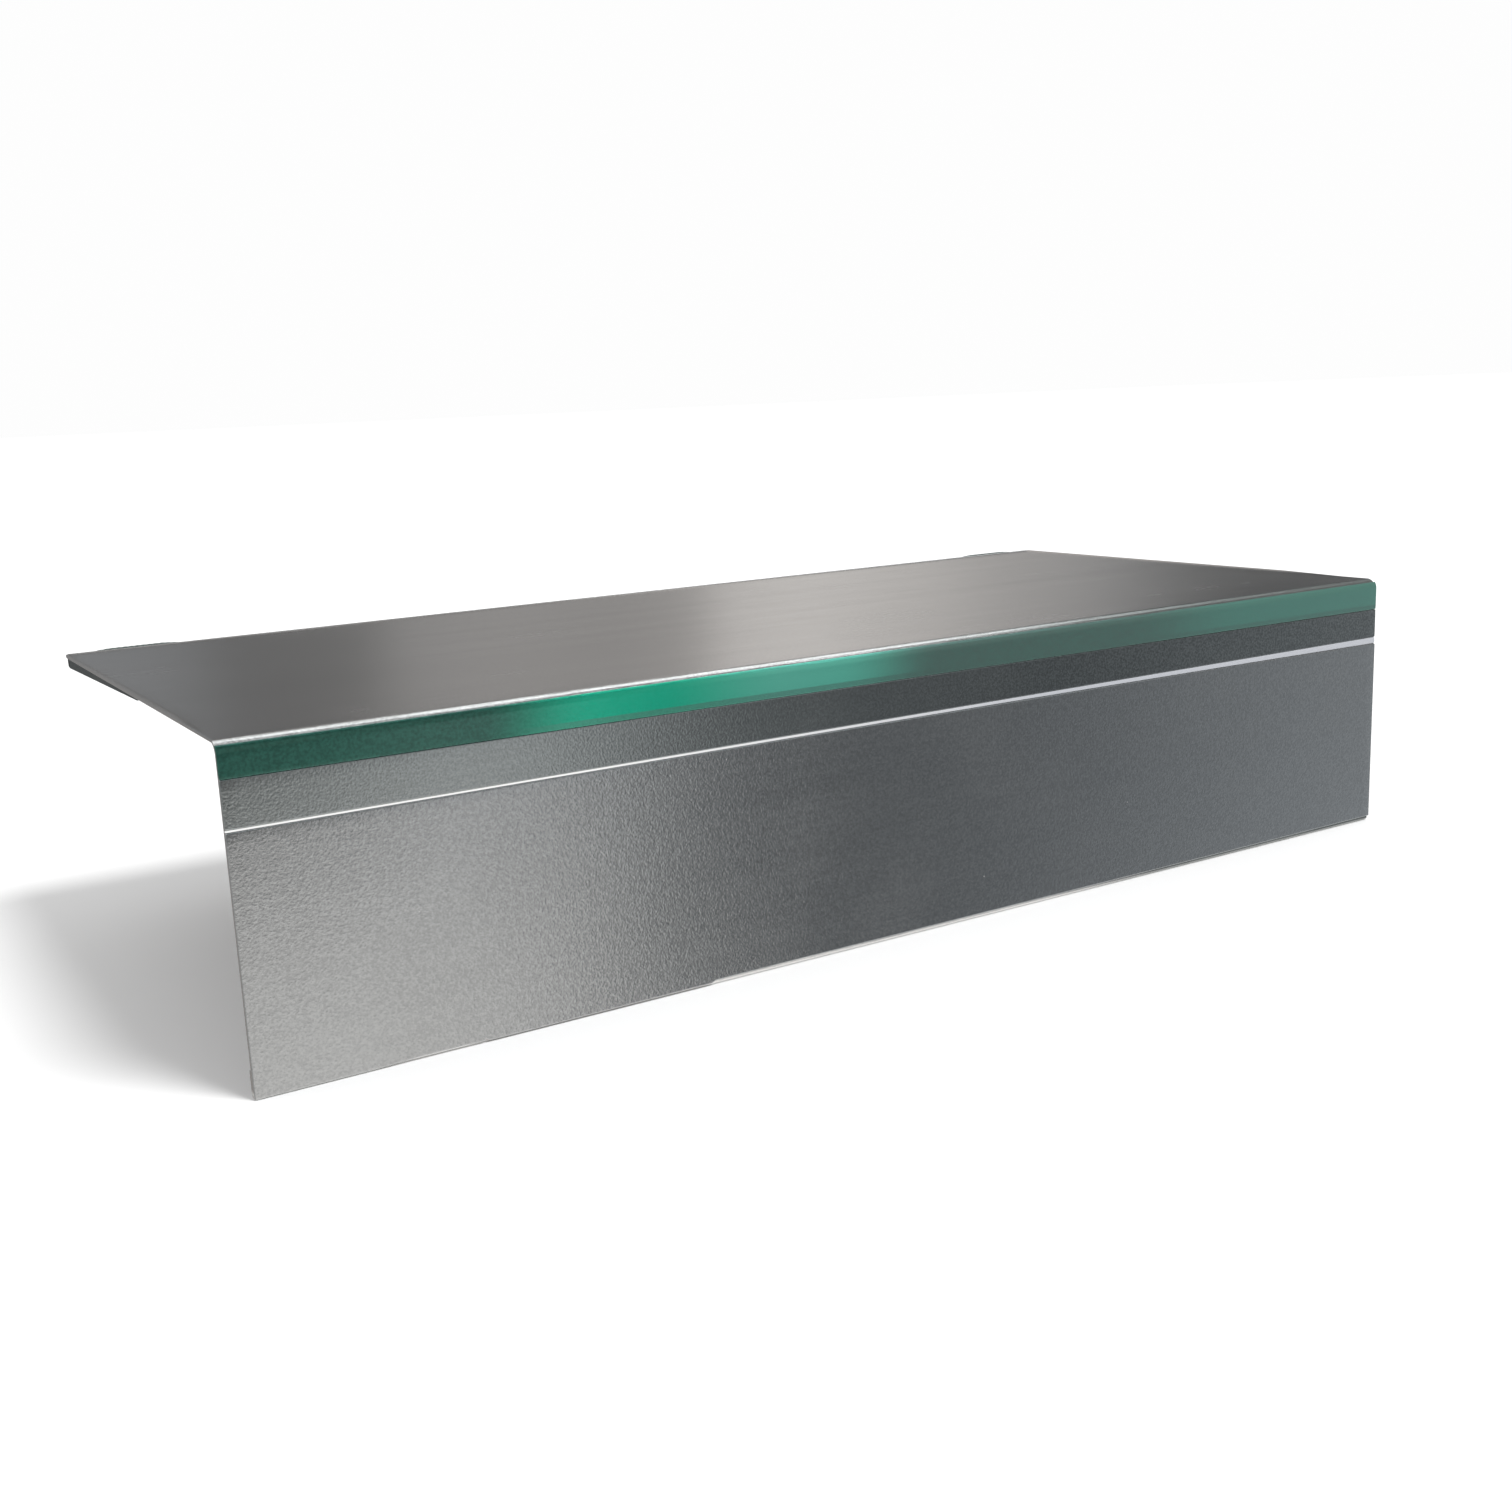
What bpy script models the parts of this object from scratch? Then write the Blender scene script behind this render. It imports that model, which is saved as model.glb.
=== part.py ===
"""A folded sheet-metal wall shelf on a concealed steel bracket.

The shelf is one folded sheet with a deep front apron. It slides over two square tubes, which stand out from a
plate screwed to the wall. Two thumb screws clamp it there. Metres, +Z up: X runs along the shelf, and the wall
is the plane Y = 0, with the shelf in front of it at negative Y.
"""

from math import cos, pi, radians, sin, tan

import bmesh
import bpy
from mathutils import Matrix, Vector

MM = 0.001

# Shelf
LENGTH = 600 * MM
DEPTH = 275 * MM
DROP = 130 * MM
SHEET = 1.2 * MM
NOSE_RADIUS = 5 * MM
HEM_RETURN = 9 * MM
TOP_Z = 50 * MM
BACK_Y = -3.5 * MM

# Clearances
GAP = 0.3 * MM
SEAM = 0.1 * MM

# Front bands: how far below the top each edge lies, at the left and at the right end
TRIM = 0.5 * MM
PANEL = 0.8 * MM
GREEN_END = (13.4 * MM, 15.8 * MM)
DARK_END = (31.1 * MM, 30.5 * MM)
BRIGHT_END = (32.0 * MM, 33.9 * MM)
PANEL_REVEAL = (0.3 * MM, 2.4 * MM)
GREEN_START = radians(52)

# Wall rail
RAIL = 3 * MM
RAIL_HALF = 298.5 * MM
RAIL_TIP = 5 * MM
RAIL_TAPER_X = 268 * MM
RAIL_WING = 19.5 * MM
RAIL_SLOPE = 15 * MM
RAIL_CORE_HALF = 185 * MM
RAIL_CORE_FOOT_Z = -35 * MM
RAIL_CORNERS = (0.8 * MM, 2 * MM, 12 * MM, 6 * MM, 6 * MM, 6 * MM)
SCREW_X = (60 * MM, 170 * MM)
SCREW_Z = -10 * MM
SLOT_WIDTH = 7 * MM
SLOT_LENGTH = 12 * MM

# Arms
ARM_X = 150 * MM
TUBE = 20 * MM
TUBE_WALL = 1.5 * MM
TUBE_CORNER = 2.5 * MM
TUBE_INNER_CORNER = 1 * MM
TUBE_END_Y = -225 * MM
CAP_FLANGE = 2 * MM
CAP_PLUG = 12 * MM
GUSSET = 4 * MM
GUSSET_REACH = 56 * MM
GUSSET_DROP = 58 * MM
GUSSET_TOE = 7 * MM
GUSSET_NOSE = 6 * MM
GUSSET_CORNERS = (0, 0, 3 * MM, 2 * MM, 0)
OUTER_ARM = 4 * MM
OUTER_ARM_END_Y = -150 * MM
OUTER_ARM_FRONT = 1.4 * MM
OUTER_ARM_CORNERS = (0, 0, 0.6 * MM, 0.6 * MM)

# Sleeves, stiffener and ribs
SLEEVE_BACK_Y = -65 * MM
SLEEVE_FRONT_Y = -250 * MM
SLEEVE_FLANGE = 12 * MM
BEND = 1.8 * MM
STIFFENER_HALF = 285 * MM
STIFFENER_TOP_Z = 42 * MM
STIFFENER_HEIGHT = 26 * MM
LEG = 15 * MM
RIB_FOOT_Z = -66 * MM
RIB_HEAD_Z = 12 * MM

# Fixings
THREAD_RADIUS = 3 * MM
WASHER = 1.5 * MM
WASHER_RADIUS = 8 * MM
HEAD_RADIUS = 5.5 * MM
HEAD = 4 * MM
HEAD_DOME = ((0.75, 1), (0.95, 0.7), (1, 0.3), (1, 0))
SOCKET_RADIUS = 2.3 * MM
SOCKET_DEPTH = 2.2 * MM
LOCK_Y = -200 * MM
NUT_RADIUS = 5.8 * MM
NUT = 5 * MM
KNOB_RADIUS = 8 * MM
KNOB = 8 * MM
KNOB_CHAMFER = 1 * MM
NECK = 6 * MM
COLLAR = 1.5 * MM
TIP_TAPER = 0.6 * MM
TIP_LENGTH = 0.8 * MM

# Back buffers
BUFFER_LENGTH = 43 * MM
BUFFER_INSET = 12 * MM
BUFFER_PROUD = 1 * MM
BUFFER_EDGE = 0.7 * MM

ARC_STEPS = 6
ROUND_SEGMENTS = 32
JUST_UNDER = 0.999

FRONT_Y = BACK_Y - DEPTH
SHEET_FRONT_Y = FRONT_Y + PANEL + GAP
SHEET_INNER_Y = SHEET_FRONT_Y + SHEET
BOTTOM_Z = TOP_Z - DROP
UNDER_Z = TOP_Z - SHEET - GAP
TUBE_FOOT_Z = UNDER_Z - TUBE
ALONG_Y = Matrix.Rotation(pi / 2, 4, "X")
ALONG_X = Matrix.Rotation(pi / 2, 4, "Z") @ ALONG_Y

SIDES = (("left", -1), ("right", 1))


def clear_scene():
    for thing in list(bpy.data.objects):
        bpy.data.objects.remove(thing)


def collection(name, shown=True):
    found = bpy.data.collections.new(name)
    bpy.context.scene.collection.children.link(found)
    found.hide_render = not shown
    return found


def material(name, color, roughness, metallic):
    made = bpy.data.materials.new(name)
    made.use_nodes = True
    shader = made.node_tree.nodes["Principled BSDF"]
    shader.inputs["Base Color"].default_value = (*color, 1)
    shader.inputs["Roughness"].default_value = roughness
    shader.inputs["Metallic"].default_value = metallic
    return made


def make_materials():
    return {
        "satin": material("satin_steel", (0.33, 0.33, 0.33), 0.38, 1.0),
        "green": material("green_lacquer", (0.02, 0.33, 0.24), 0.18, 0.6),
        "dark": material("dark_steel", (0.16, 0.17, 0.17), 0.36, 1.0),
        "bright": material("bright_steel", (0.8, 0.8, 0.82), 0.2, 1.0),
        "grained": material("grained_steel", (0.3, 0.31, 0.31), 0.4, 1.0),
        "bracket": material("bracket_paint", (0.045, 0.055, 0.055), 0.5, 0.0),
        "zinc": material("zinc_plate", (0.6, 0.6, 0.58), 0.35, 1.0),
        "plastic": material("black_plastic", (0.02, 0.02, 0.02), 0.45, 0.0),
        "rubber": material("green_grey_rubber", (0.06, 0.08, 0.075), 0.8, 0.0),
    }


def show(thing, group, finish):
    for holder in list(thing.users_collection):
        holder.objects.unlink(thing)
    group.objects.link(thing)
    thing.data.materials.clear()
    thing.data.materials.append(finish)
    return thing


def object_of(name, data):
    thing = bpy.data.objects.new(name, data)
    bpy.context.scene.collection.objects.link(thing)
    return thing


def mesh_from(name, build):
    """A new object whose mesh the function build fills as a bmesh."""
    mesh = bpy.data.meshes.new(name)
    work = bmesh.new()
    build(work)
    work.to_mesh(mesh)
    work.free()
    return object_of(name, mesh)


def box(name, low, high):
    low, high = Vector(low), Vector(high)

    def build(work):
        bmesh.ops.create_cube(work, size=1)
        bmesh.ops.scale(work, vec=high - low, verts=work.verts)

    thing = mesh_from(name, build)
    thing.location = (low + high) / 2
    return thing


def bevel(thing, width, segments=2):
    edge = thing.modifiers.new("rounded_edges", "BEVEL")
    edge.width = width
    edge.segments = segments
    edge.limit_method = "ANGLE"
    return thing


def corner_arc(before, corner, after, radius):
    """Points of the arc that rounds a corner between two straight runs."""
    corner = Vector(corner)
    to_before = (Vector(before) - corner).normalized()
    to_after = (Vector(after) - corner).normalized()
    half = to_before.angle(to_after) / 2
    start = corner + to_before * (radius / tan(half))
    centre = corner + (to_before + to_after).normalized() * (radius / sin(half))
    first = start - centre
    turn = (pi - 2 * half) * (1 if to_before.cross(to_after) < 0 else -1)
    return [centre + Matrix.Rotation(turn * i / ARC_STEPS, 2) @ first for i in range(ARC_STEPS + 1)]


def rounded(points, radius, closed):
    """The outline with each corner rounded, by one radius or one each. An open one keeps its two ends."""
    count = len(points)
    radii = radius if isinstance(radius, (list, tuple)) else [radius] * count
    found = []
    for i, corner in enumerate(points):
        at_end = not closed and i in (0, count - 1)
        if at_end or radii[i] == 0:
            found.append(Vector(corner))
        else:
            found += corner_arc(points[i - 1], corner, points[(i + 1) % count], radii[i])
    return found


def circle(radius, segments=ROUND_SEGMENTS):
    turns = [2 * pi * i / segments for i in range(segments)]
    return [Vector((radius * cos(turn), radius * sin(turn))) for turn in turns]


def rectangle(width, height, radius):
    x, y = width / 2, height / 2
    return rounded([(-x, -y), (x, -y), (x, y), (-x, y)], radius, True)


def plate(name, outlines, thickness, turn, centre):
    """A flat outline, with any holes as further outlines, made thick on both sides of its plane."""
    curve = bpy.data.curves.new(name, "CURVE")
    curve.dimensions = "2D"
    curve.fill_mode = "BOTH"
    curve.extrude = thickness / 2
    for outline in outlines:
        spline = curve.splines.new("POLY")
        spline.points.add(len(outline) - 1)
        spline.use_cyclic_u = True
        for point, place in zip(spline.points, outline):
            point.co = (*place, 0, 1)
    thing = object_of(name, curve)
    thing.matrix_world = Matrix.Translation(centre) @ turn
    return thing


def as_mesh(thing):
    """The curve as a mesh with its caps welded, so that a Boolean can cut it."""
    bpy.context.view_layer.update()
    graph = bpy.context.evaluated_depsgraph_get()
    mesh = bpy.data.meshes.new_from_object(thing.evaluated_get(graph), depsgraph=graph)
    work = bmesh.new()
    work.from_mesh(mesh)
    bmesh.ops.remove_doubles(work, verts=work.verts, dist=MM / 1000)
    bmesh.ops.recalc_face_normals(work, faces=work.faces)
    work.to_mesh(mesh)
    work.free()
    name, place = thing.name, thing.matrix_world.copy()
    bpy.data.objects.remove(thing)
    made = object_of(name, mesh)
    made.matrix_world = place
    return made


def combine(thing, tool, tools, operation):
    show(tool, tools, TOOL_FINISH)
    tool.hide_render = True
    tool.display_type = "WIRE"
    modifier = thing.modifiers.new(tool.name, "BOOLEAN")
    modifier.operation = operation
    modifier.object = tool
    return thing


def folded(name, path, thickness, place, ends):
    """A sheet folded along a path: place(u, v, w) puts a point of it, at w along the fold, in the world."""

    def build(work):
        rows = [[work.verts.new(place(u, v, w)) for u, v in path] for w in ends]
        for i in range(len(path) - 1):
            work.faces.new((rows[0][i], rows[0][i + 1], rows[1][i + 1], rows[1][i]))

    thing = mesh_from(name, build)
    wall = thing.modifiers.new("sheet_thickness", "SOLIDIFY")
    wall.thickness = thickness
    wall.offset = 0
    wall.use_even_offset = True
    return thing


def turned(name, profile, axis_turn, centre):
    """A profile of (radius, height) pairs, from the top down, turned about its own axis."""

    def build(work):
        points = [work.verts.new((radius, 0, height)) for radius, height in profile]
        for a, b in zip(points, points[1:]):
            work.edges.new((a, b))

    thing = mesh_from(name, build)
    spin = thing.modifiers.new("turned", "SCREW")
    spin.steps = ROUND_SEGMENTS
    spin.render_steps = ROUND_SEGMENTS
    spin.use_merge_vertices = True
    spin.merge_threshold = MM / 100
    thing.matrix_world = Matrix.Translation(centre) @ axis_turn
    return thing


def shelf_sheet(group, finish):
    half = SHEET / 2
    front = SHEET_FRONT_Y + half
    fold = half + GAP
    path = [
        (BACK_Y, TOP_Z - half),
        (front, TOP_Z - half),
        (front, BOTTOM_Z + half),
        (front + 2 * fold, BOTTOM_Z + half),
        (front + 2 * fold, BOTTOM_Z + half + fold + HEM_RETURN),
    ]
    hem = fold * JUST_UNDER
    line = rounded(path, [0, NOSE_RADIUS - half, hem, hem, 0], False)
    ends = (-LENGTH / 2, LENGTH / 2)
    show(folded("shelf_sheet", line, SHEET, lambda y, z, x: (x, y, z), ends), group, finish)


def band_z(depths):
    """Heights at the left and right ends for depths below the top."""
    return [TOP_Z - depth for depth in depths]


def green_strip(group, finish):
    """A strip that starts a little way round the nose, and whose lower edge runs down from left to right."""
    radius = NOSE_RADIUS + GAP + TRIM / 2
    centre_y, centre_z = SHEET_FRONT_Y + NOSE_RADIUS, TOP_Z - NOSE_RADIUS
    turns = [GREEN_START + (pi / 2 - GREEN_START) * i / ARC_STEPS for i in range(ARC_STEPS + 1)]
    nose = [(centre_y - radius * sin(turn), centre_z + radius * cos(turn)) for turn in turns]

    def build(work):
        rows = []
        for x, foot in zip((-LENGTH / 2, LENGTH / 2), band_z(GREEN_END)):
            rows.append([work.verts.new((x, y, z)) for y, z in (*nose, (nose[-1][0], foot))])
        for i in range(len(rows[0]) - 1):
            work.faces.new((rows[0][i], rows[0][i + 1], rows[1][i + 1], rows[1][i]))

    strip = mesh_from("green_trim_strip", build)
    wall = strip.modifiers.new("strip_thickness", "SOLIDIFY")
    wall.thickness = TRIM
    wall.offset = 0
    wall.use_even_offset = True
    show(strip, group, finish)


def face_strip(name, upper, lower, thickness, group, finish):
    """A flat strip on the apron, between two edges given by their depths at the left and right ends."""
    high, low = band_z(upper), band_z(lower)
    left, right = -LENGTH / 2, LENGTH / 2
    outline = [(left, low[0]), (right, low[1]), (right, high[1] - SEAM), (left, high[0] - SEAM)]
    centre = (0, SHEET_FRONT_Y - GAP - thickness / 2, 0)
    show(plate(name, [outline], thickness, ALONG_Y, centre), group, finish)


def apron_bands(group, finishes):
    green_strip(group, finishes["green"])
    face_strip("dark_trim_strip", GREEN_END, DARK_END, TRIM, group, finishes["dark"])
    face_strip("bright_inlay_strip", DARK_END, BRIGHT_END, TRIM, group, finishes["bright"])
    foot = [DROP - reveal for reveal in PANEL_REVEAL]
    face_strip("lower_face_panel", BRIGHT_END, foot, PANEL, group, finishes["grained"])


def wall_rail(group, tools, finish):
    """A plate with slots in its deep middle, and wings that taper towards the ends of the shelf."""
    wing_z = UNDER_Z - RAIL_WING
    right = [(RAIL_HALF, UNDER_Z), (RAIL_HALF, UNDER_Z - RAIL_TIP), (RAIL_TAPER_X, wing_z)]
    right += [(RAIL_CORE_HALF + RAIL_SLOPE, wing_z), (RAIL_CORE_HALF, wing_z - RAIL_SLOPE)]
    right += [(RAIL_CORE_HALF, RAIL_CORE_FOOT_Z)]
    outline = right + [(-x, z) for x, z in reversed(right)]
    outline = rounded(outline, RAIL_CORNERS + RAIL_CORNERS[::-1], True)
    rail = as_mesh(plate("wall_rail", [outline], RAIL, ALONG_Y, (0, -RAIL / 2, 0)))
    for i, x in enumerate(screw_places()):
        slot = rectangle(SLOT_LENGTH, SLOT_WIDTH, SLOT_WIDTH / 2 * JUST_UNDER)
        cutter = as_mesh(plate(f"slot_cutter_{i + 1}", [slot], 3 * RAIL, ALONG_Y, (x, -RAIL / 2, SCREW_Z)))
        combine(rail, cutter, tools, "DIFFERENCE")
    show(rail, group, finish)


def screw_places():
    return [-SCREW_X[1], -SCREW_X[0], SCREW_X[0], SCREW_X[1]]


def main_arm(side, sign, group, finish):
    inner = TUBE - 2 * TUBE_WALL
    outlines = [rectangle(TUBE, TUBE, TUBE_CORNER), rectangle(inner, inner, TUBE_INNER_CORNER)]
    back = -RAIL - GAP
    centre = (sign * ARM_X, (back + TUBE_END_Y) / 2, UNDER_Z - TUBE / 2)
    show(plate(f"main_arm_{side}", outlines, back - TUBE_END_Y, ALONG_Y, centre), group, finish)


def arm_cap(side, sign, group, tools, finish):
    """A flange as wide as the tube, with a plug that fits inside it."""
    x, z = sign * ARM_X, UNDER_Z - TUBE / 2
    inner = TUBE - 2 * TUBE_WALL - 2 * GAP
    front, back = TUBE_END_Y - GAP - CAP_FLANGE / 2, TUBE_END_Y + CAP_PLUG
    flange_outline = rectangle(TUBE, TUBE, TUBE_CORNER)
    plug_outline = rectangle(inner, inner, TUBE_CORNER - TUBE_WALL)
    cap = as_mesh(plate(f"arm_cap_{side}", [flange_outline], CAP_FLANGE, ALONG_Y, (x, front, z)))
    plug = as_mesh(plate(f"plug_{side}", [plug_outline], back - front, ALONG_Y, (x, (front + back) / 2, z)))
    combine(cap, plug, tools, "UNION")
    show(cap, group, finish)


def arm_gusset(side, sign, group, finish):
    wall_y, top = -RAIL - GAP, TUBE_FOOT_Z - GAP
    outline = [(wall_y, top), (wall_y, top - GUSSET_DROP), (wall_y - GUSSET_TOE, top - GUSSET_DROP)]
    outline += [(wall_y - GUSSET_REACH, top - GUSSET_NOSE), (wall_y - GUSSET_REACH, top)]
    outline = rounded(outline, GUSSET_CORNERS, True)
    show(plate(f"arm_gusset_{side}", [outline], GUSSET, ALONG_X, (sign * ARM_X, 0, 0)), group, finish)


def outer_arm(side, sign, group, finish):
    """A slim tapered rest under the end of the sheet, as deep at the wall as the rail's tip."""
    wall_y = -RAIL - GAP
    outline = [(wall_y, UNDER_Z), (wall_y, UNDER_Z - RAIL_TIP)]
    outline += [(OUTER_ARM_END_Y, UNDER_Z - OUTER_ARM_FRONT), (OUTER_ARM_END_Y, UNDER_Z)]
    outline = rounded(outline, OUTER_ARM_CORNERS, True)
    x = sign * (RAIL_HALF - OUTER_ARM / 2)
    show(plate(f"outer_arm_{side}", [outline], OUTER_ARM, ALONG_X, (x, 0, 0)), group, finish)


def wall_fixings(group, tools, finish):
    """Four pan-head screws and their washers. Each shank ends just short of the wall plane."""
    washer_y = -RAIL - GAP - WASHER / 2
    seat_y = -RAIL - 2 * GAP - WASHER
    shank = -seat_y - GAP
    profile = [(0, HEAD)] + [(HEAD_RADIUS * out, HEAD * up) for out, up in HEAD_DOME]
    profile += [(THREAD_RADIUS, 0), (THREAD_RADIUS, -shank), (0, -shank)]
    first = turned("wall_screw_1", profile, ALONG_Y, (screw_places()[0], seat_y, SCREW_Z))
    socket_y = seat_y - HEAD + SOCKET_DEPTH / 2 - GAP
    socket_place = (screw_places()[0], socket_y, SCREW_Z)
    hexagon = circle(SOCKET_RADIUS, 6)
    socket = plate("socket_cutter", [hexagon], SOCKET_DEPTH + 2 * GAP, ALONG_Y, socket_place)
    combine(first, as_mesh(socket), tools, "DIFFERENCE")
    screw = as_mesh(first)
    screw.data.shade_smooth()
    screw.data.set_sharp_from_angle(angle=pi / 6)
    show(screw, group, finish)
    for i, x in enumerate(screw_places()):
        ring = [circle(WASHER_RADIUS), circle(THREAD_RADIUS + GAP)]
        show(plate(f"wall_washer_{i + 1}", ring, WASHER, ALONG_Y, (x, washer_y, SCREW_Z)), group, finish)
        if i > 0:
            copy = object_of(f"wall_screw_{i + 1}", screw.data)
            copy.matrix_world = Matrix.Translation((x, seat_y, SCREW_Z)) @ ALONG_Y
            show(copy, group, finish)


def arm_sleeve(side, sign, group, tools, finish):
    """A hat channel under the top, open at both ends, with a hole for the lock screw in its web."""
    inside = TUBE / 2 + GAP + SHEET / 2
    flange_z = UNDER_Z - SHEET / 2
    web_z = TUBE_FOOT_Z - GAP - SHEET / 2
    outer = inside + SLEEVE_FLANGE
    path = [(-outer, flange_z), (-inside, flange_z), (-inside, web_z)]
    path += [(inside, web_z), (inside, flange_z), (outer, flange_z)]
    path = rounded(path, BEND, False)
    x = sign * ARM_X
    ends = (SLEEVE_BACK_Y, SLEEVE_FRONT_Y)
    sleeve = folded(f"arm_sleeve_{side}", path, SHEET, lambda u, z, y: (x + u, y, z), ends)
    hole = [circle(THREAD_RADIUS + 2 * GAP)]
    cutter = plate(f"hole_cutter_{side}", hole, 4 * SHEET, Matrix(), (x, LOCK_Y, web_z))
    combine(sleeve, as_mesh(cutter), tools, "DIFFERENCE")
    show(sleeve, group, finish)


def lock_fixing(side, sign, group, finishes):
    """A nut under the sleeve's web, and a thumb screw whose tip ends just under the tube."""
    x = sign * ARM_X
    nut_top = TUBE_FOOT_Z - 2 * GAP - SHEET
    ring = [circle(NUT_RADIUS, 6), circle(THREAD_RADIUS + GAP)]
    nut = plate(f"weld_nut_{side}", ring, NUT, Matrix(), (x, LOCK_Y, nut_top - NUT / 2))
    show(nut, group, finishes["zinc"])
    tip = TUBE_FOOT_Z - GAP
    knob_top = nut_top - NUT - NECK - tip
    profile = [(0, 0), (THREAD_RADIUS - TIP_TAPER, 0), (THREAD_RADIUS, -TIP_LENGTH)]
    profile += [(THREAD_RADIUS, knob_top + NECK / 2), (THREAD_RADIUS + COLLAR, knob_top)]
    profile += [(KNOB_RADIUS - KNOB_CHAMFER, knob_top), (KNOB_RADIUS, knob_top - KNOB_CHAMFER)]
    profile += [(KNOB_RADIUS, knob_top - KNOB + KNOB_CHAMFER)]
    profile += [(KNOB_RADIUS - KNOB_CHAMFER, knob_top - KNOB), (0, knob_top - KNOB)]
    screw = turned(f"lock_screw_{side}", profile, Matrix(), (x, LOCK_Y, tip))
    show(screw, group, finishes["zinc"])


def front_stiffener(group, finish):
    web_y = SHEET_INNER_Y + GAP + SHEET / 2
    path = [(web_y + LEG, STIFFENER_TOP_Z), (web_y, STIFFENER_TOP_Z)]
    path += [(web_y, STIFFENER_TOP_Z - STIFFENER_HEIGHT), (web_y + LEG, STIFFENER_TOP_Z - STIFFENER_HEIGHT)]
    path = rounded(path, BEND, False)
    ends = (-STIFFENER_HALF, STIFFENER_HALF)
    show(folded("front_stiffener", path, SHEET, lambda y, z, x: (x, y, z), ends), group, finish)


def apron_ribs(group, finish):
    wall_y = SHEET_INNER_Y + GAP + SHEET / 2
    for side, x in (("left", -ARM_X), ("centre", 0), ("right", ARM_X)):
        corners = [(x - LEG / 2, wall_y), (x + LEG / 2, wall_y), (x + LEG / 2, wall_y + LEG)]
        path = rounded(corners, BEND, False)
        ends = (RIB_FOOT_Z, RIB_HEAD_Z)
        rib = folded(f"apron_rib_{side}", path, SHEET, lambda u, y, z: (u, y, z), ends)
        show(rib, group, finish)


def back_buffer(side, sign, group, finish):
    near = sign * (LENGTH / 2 - BUFFER_INSET)
    far = sign * (LENGTH / 2 - BUFFER_INSET - BUFFER_LENGTH)
    low = (min(near, far), BACK_Y + GAP, TOP_Z - SHEET)
    high = (max(near, far), -GAP, TOP_Z + BUFFER_PROUD)
    show(bevel(box(f"back_buffer_{side}", low, high), BUFFER_EDGE), group, finish)


def main():
    group, tools = collection("wall_shelf"), collection("cutters", shown=False)
    finishes = make_materials()
    shelf_sheet(group, finishes["satin"])
    apron_bands(group, finishes)
    front_stiffener(group, finishes["zinc"])
    apron_ribs(group, finishes["zinc"])
    wall_rail(group, tools, finishes["bracket"])
    wall_fixings(group, tools, finishes["zinc"])
    for side, sign in SIDES:
        main_arm(side, sign, group, finishes["bracket"])
        arm_cap(side, sign, group, tools, finishes["plastic"])
        arm_gusset(side, sign, group, finishes["bracket"])
        outer_arm(side, sign, group, finishes["bracket"])
        arm_sleeve(side, sign, group, tools, finishes["zinc"])
        lock_fixing(side, sign, group, finishes)
        back_buffer(side, sign, group, finishes["rubber"])


clear_scene()
TOOL_FINISH = material("cutter", (0.8, 0.1, 0.1), 0.5, 0.0)
main()
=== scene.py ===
"""The finished look of a folded sheet-metal wall shelf and of the steel bracket that carries it.

Metres throughout. X runs along the shelf, -Y is its front, the wall is the plane Y = 0, and +Z is up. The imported
model is loaded as a fixed frame, and every new piece takes its place and size from it.
"""

from math import acos, cos, pi, radians, sin

import bmesh
import bpy
import numpy as np
from bpy.props import FloatProperty, FloatVectorProperty, IntProperty, PointerProperty
from mathutils import Matrix, Vector


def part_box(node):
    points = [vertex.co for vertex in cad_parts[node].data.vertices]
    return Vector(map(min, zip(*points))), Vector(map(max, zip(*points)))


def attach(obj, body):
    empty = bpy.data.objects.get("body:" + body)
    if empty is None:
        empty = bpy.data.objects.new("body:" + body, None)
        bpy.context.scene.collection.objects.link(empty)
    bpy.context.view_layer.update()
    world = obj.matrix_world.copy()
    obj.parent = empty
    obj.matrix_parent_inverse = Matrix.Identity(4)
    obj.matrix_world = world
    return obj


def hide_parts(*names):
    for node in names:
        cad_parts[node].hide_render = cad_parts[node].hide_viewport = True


bl_info = {
    "name": "Folded wall shelf",
    "version": (1, 0, 0),
    "blender": (4, 5, 0),
    "location": "3D View > Sidebar > Wall shelf",
    "description": "Makes a folded steel wall shelf with its bracket, fixings and studio",
    "category": "Object",
}

MM = 0.001
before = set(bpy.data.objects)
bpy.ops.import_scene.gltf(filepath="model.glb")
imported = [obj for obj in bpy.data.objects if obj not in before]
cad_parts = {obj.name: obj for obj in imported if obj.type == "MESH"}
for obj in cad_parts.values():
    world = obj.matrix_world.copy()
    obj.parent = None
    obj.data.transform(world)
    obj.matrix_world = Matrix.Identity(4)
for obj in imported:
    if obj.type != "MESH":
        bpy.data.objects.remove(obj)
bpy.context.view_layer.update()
SIDES = ("left", "right")


# --- What the frame says -------------------------------------------------------------------------------------------


def end_heights(node):
    """The lowest and highest Z of a node at its left end, then at its right end."""
    points = np.array([vertex.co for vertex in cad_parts[node].data.vertices])
    found = []
    for end in (points[:, 0].min(), points[:, 0].max()):
        heights = points[np.abs(points[:, 0] - end) < 0.01 * MM, 2]
        found.append((heights.min(), heights.max()))
    return found


SHEET_LOW, SHEET_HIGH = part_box("shelf_sheet")
HALF_LENGTH = SHEET_HIGH.x

# Wear along the apron's foot, at places along X: a dent and its half width, a worn stretch and its half width, where
# the step up to the bent stretch begins and ends, and where the bare metal that shows there, painted near white as a
# highlight, comes in and fades out.
DENT_X, DENT = -0.212, 0.9 * MM
WORN_X, WORN = -0.232, 18 * MM
STEP_X = (-0.112, -0.110)
HIGHLIGHT_STEP, HIGHLIGHT_FADE = (-0.114, -0.110), (0.15, 0.06)

# Where along X painted shade darkens the nose, and where the green's painted reflection passes from painted shade to
# clear, from clear to a pale painted sheen, from the sheen to a greyer painted shade, and back towards the sheen.
NOSE_PAINTED_SHADE = (-0.04, 0.18)
SHADE_TO_CLEAR, CLEAR_TO_SHEEN, SHEEN_TO_GREY, SHEEN_AGAIN = (-0.205, -0.155), (-0.130, -0.065), (-0.045, 0.010), (0.12, 0.20)


# --- Settings ------------------------------------------------------------------------------------------------------


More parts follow.
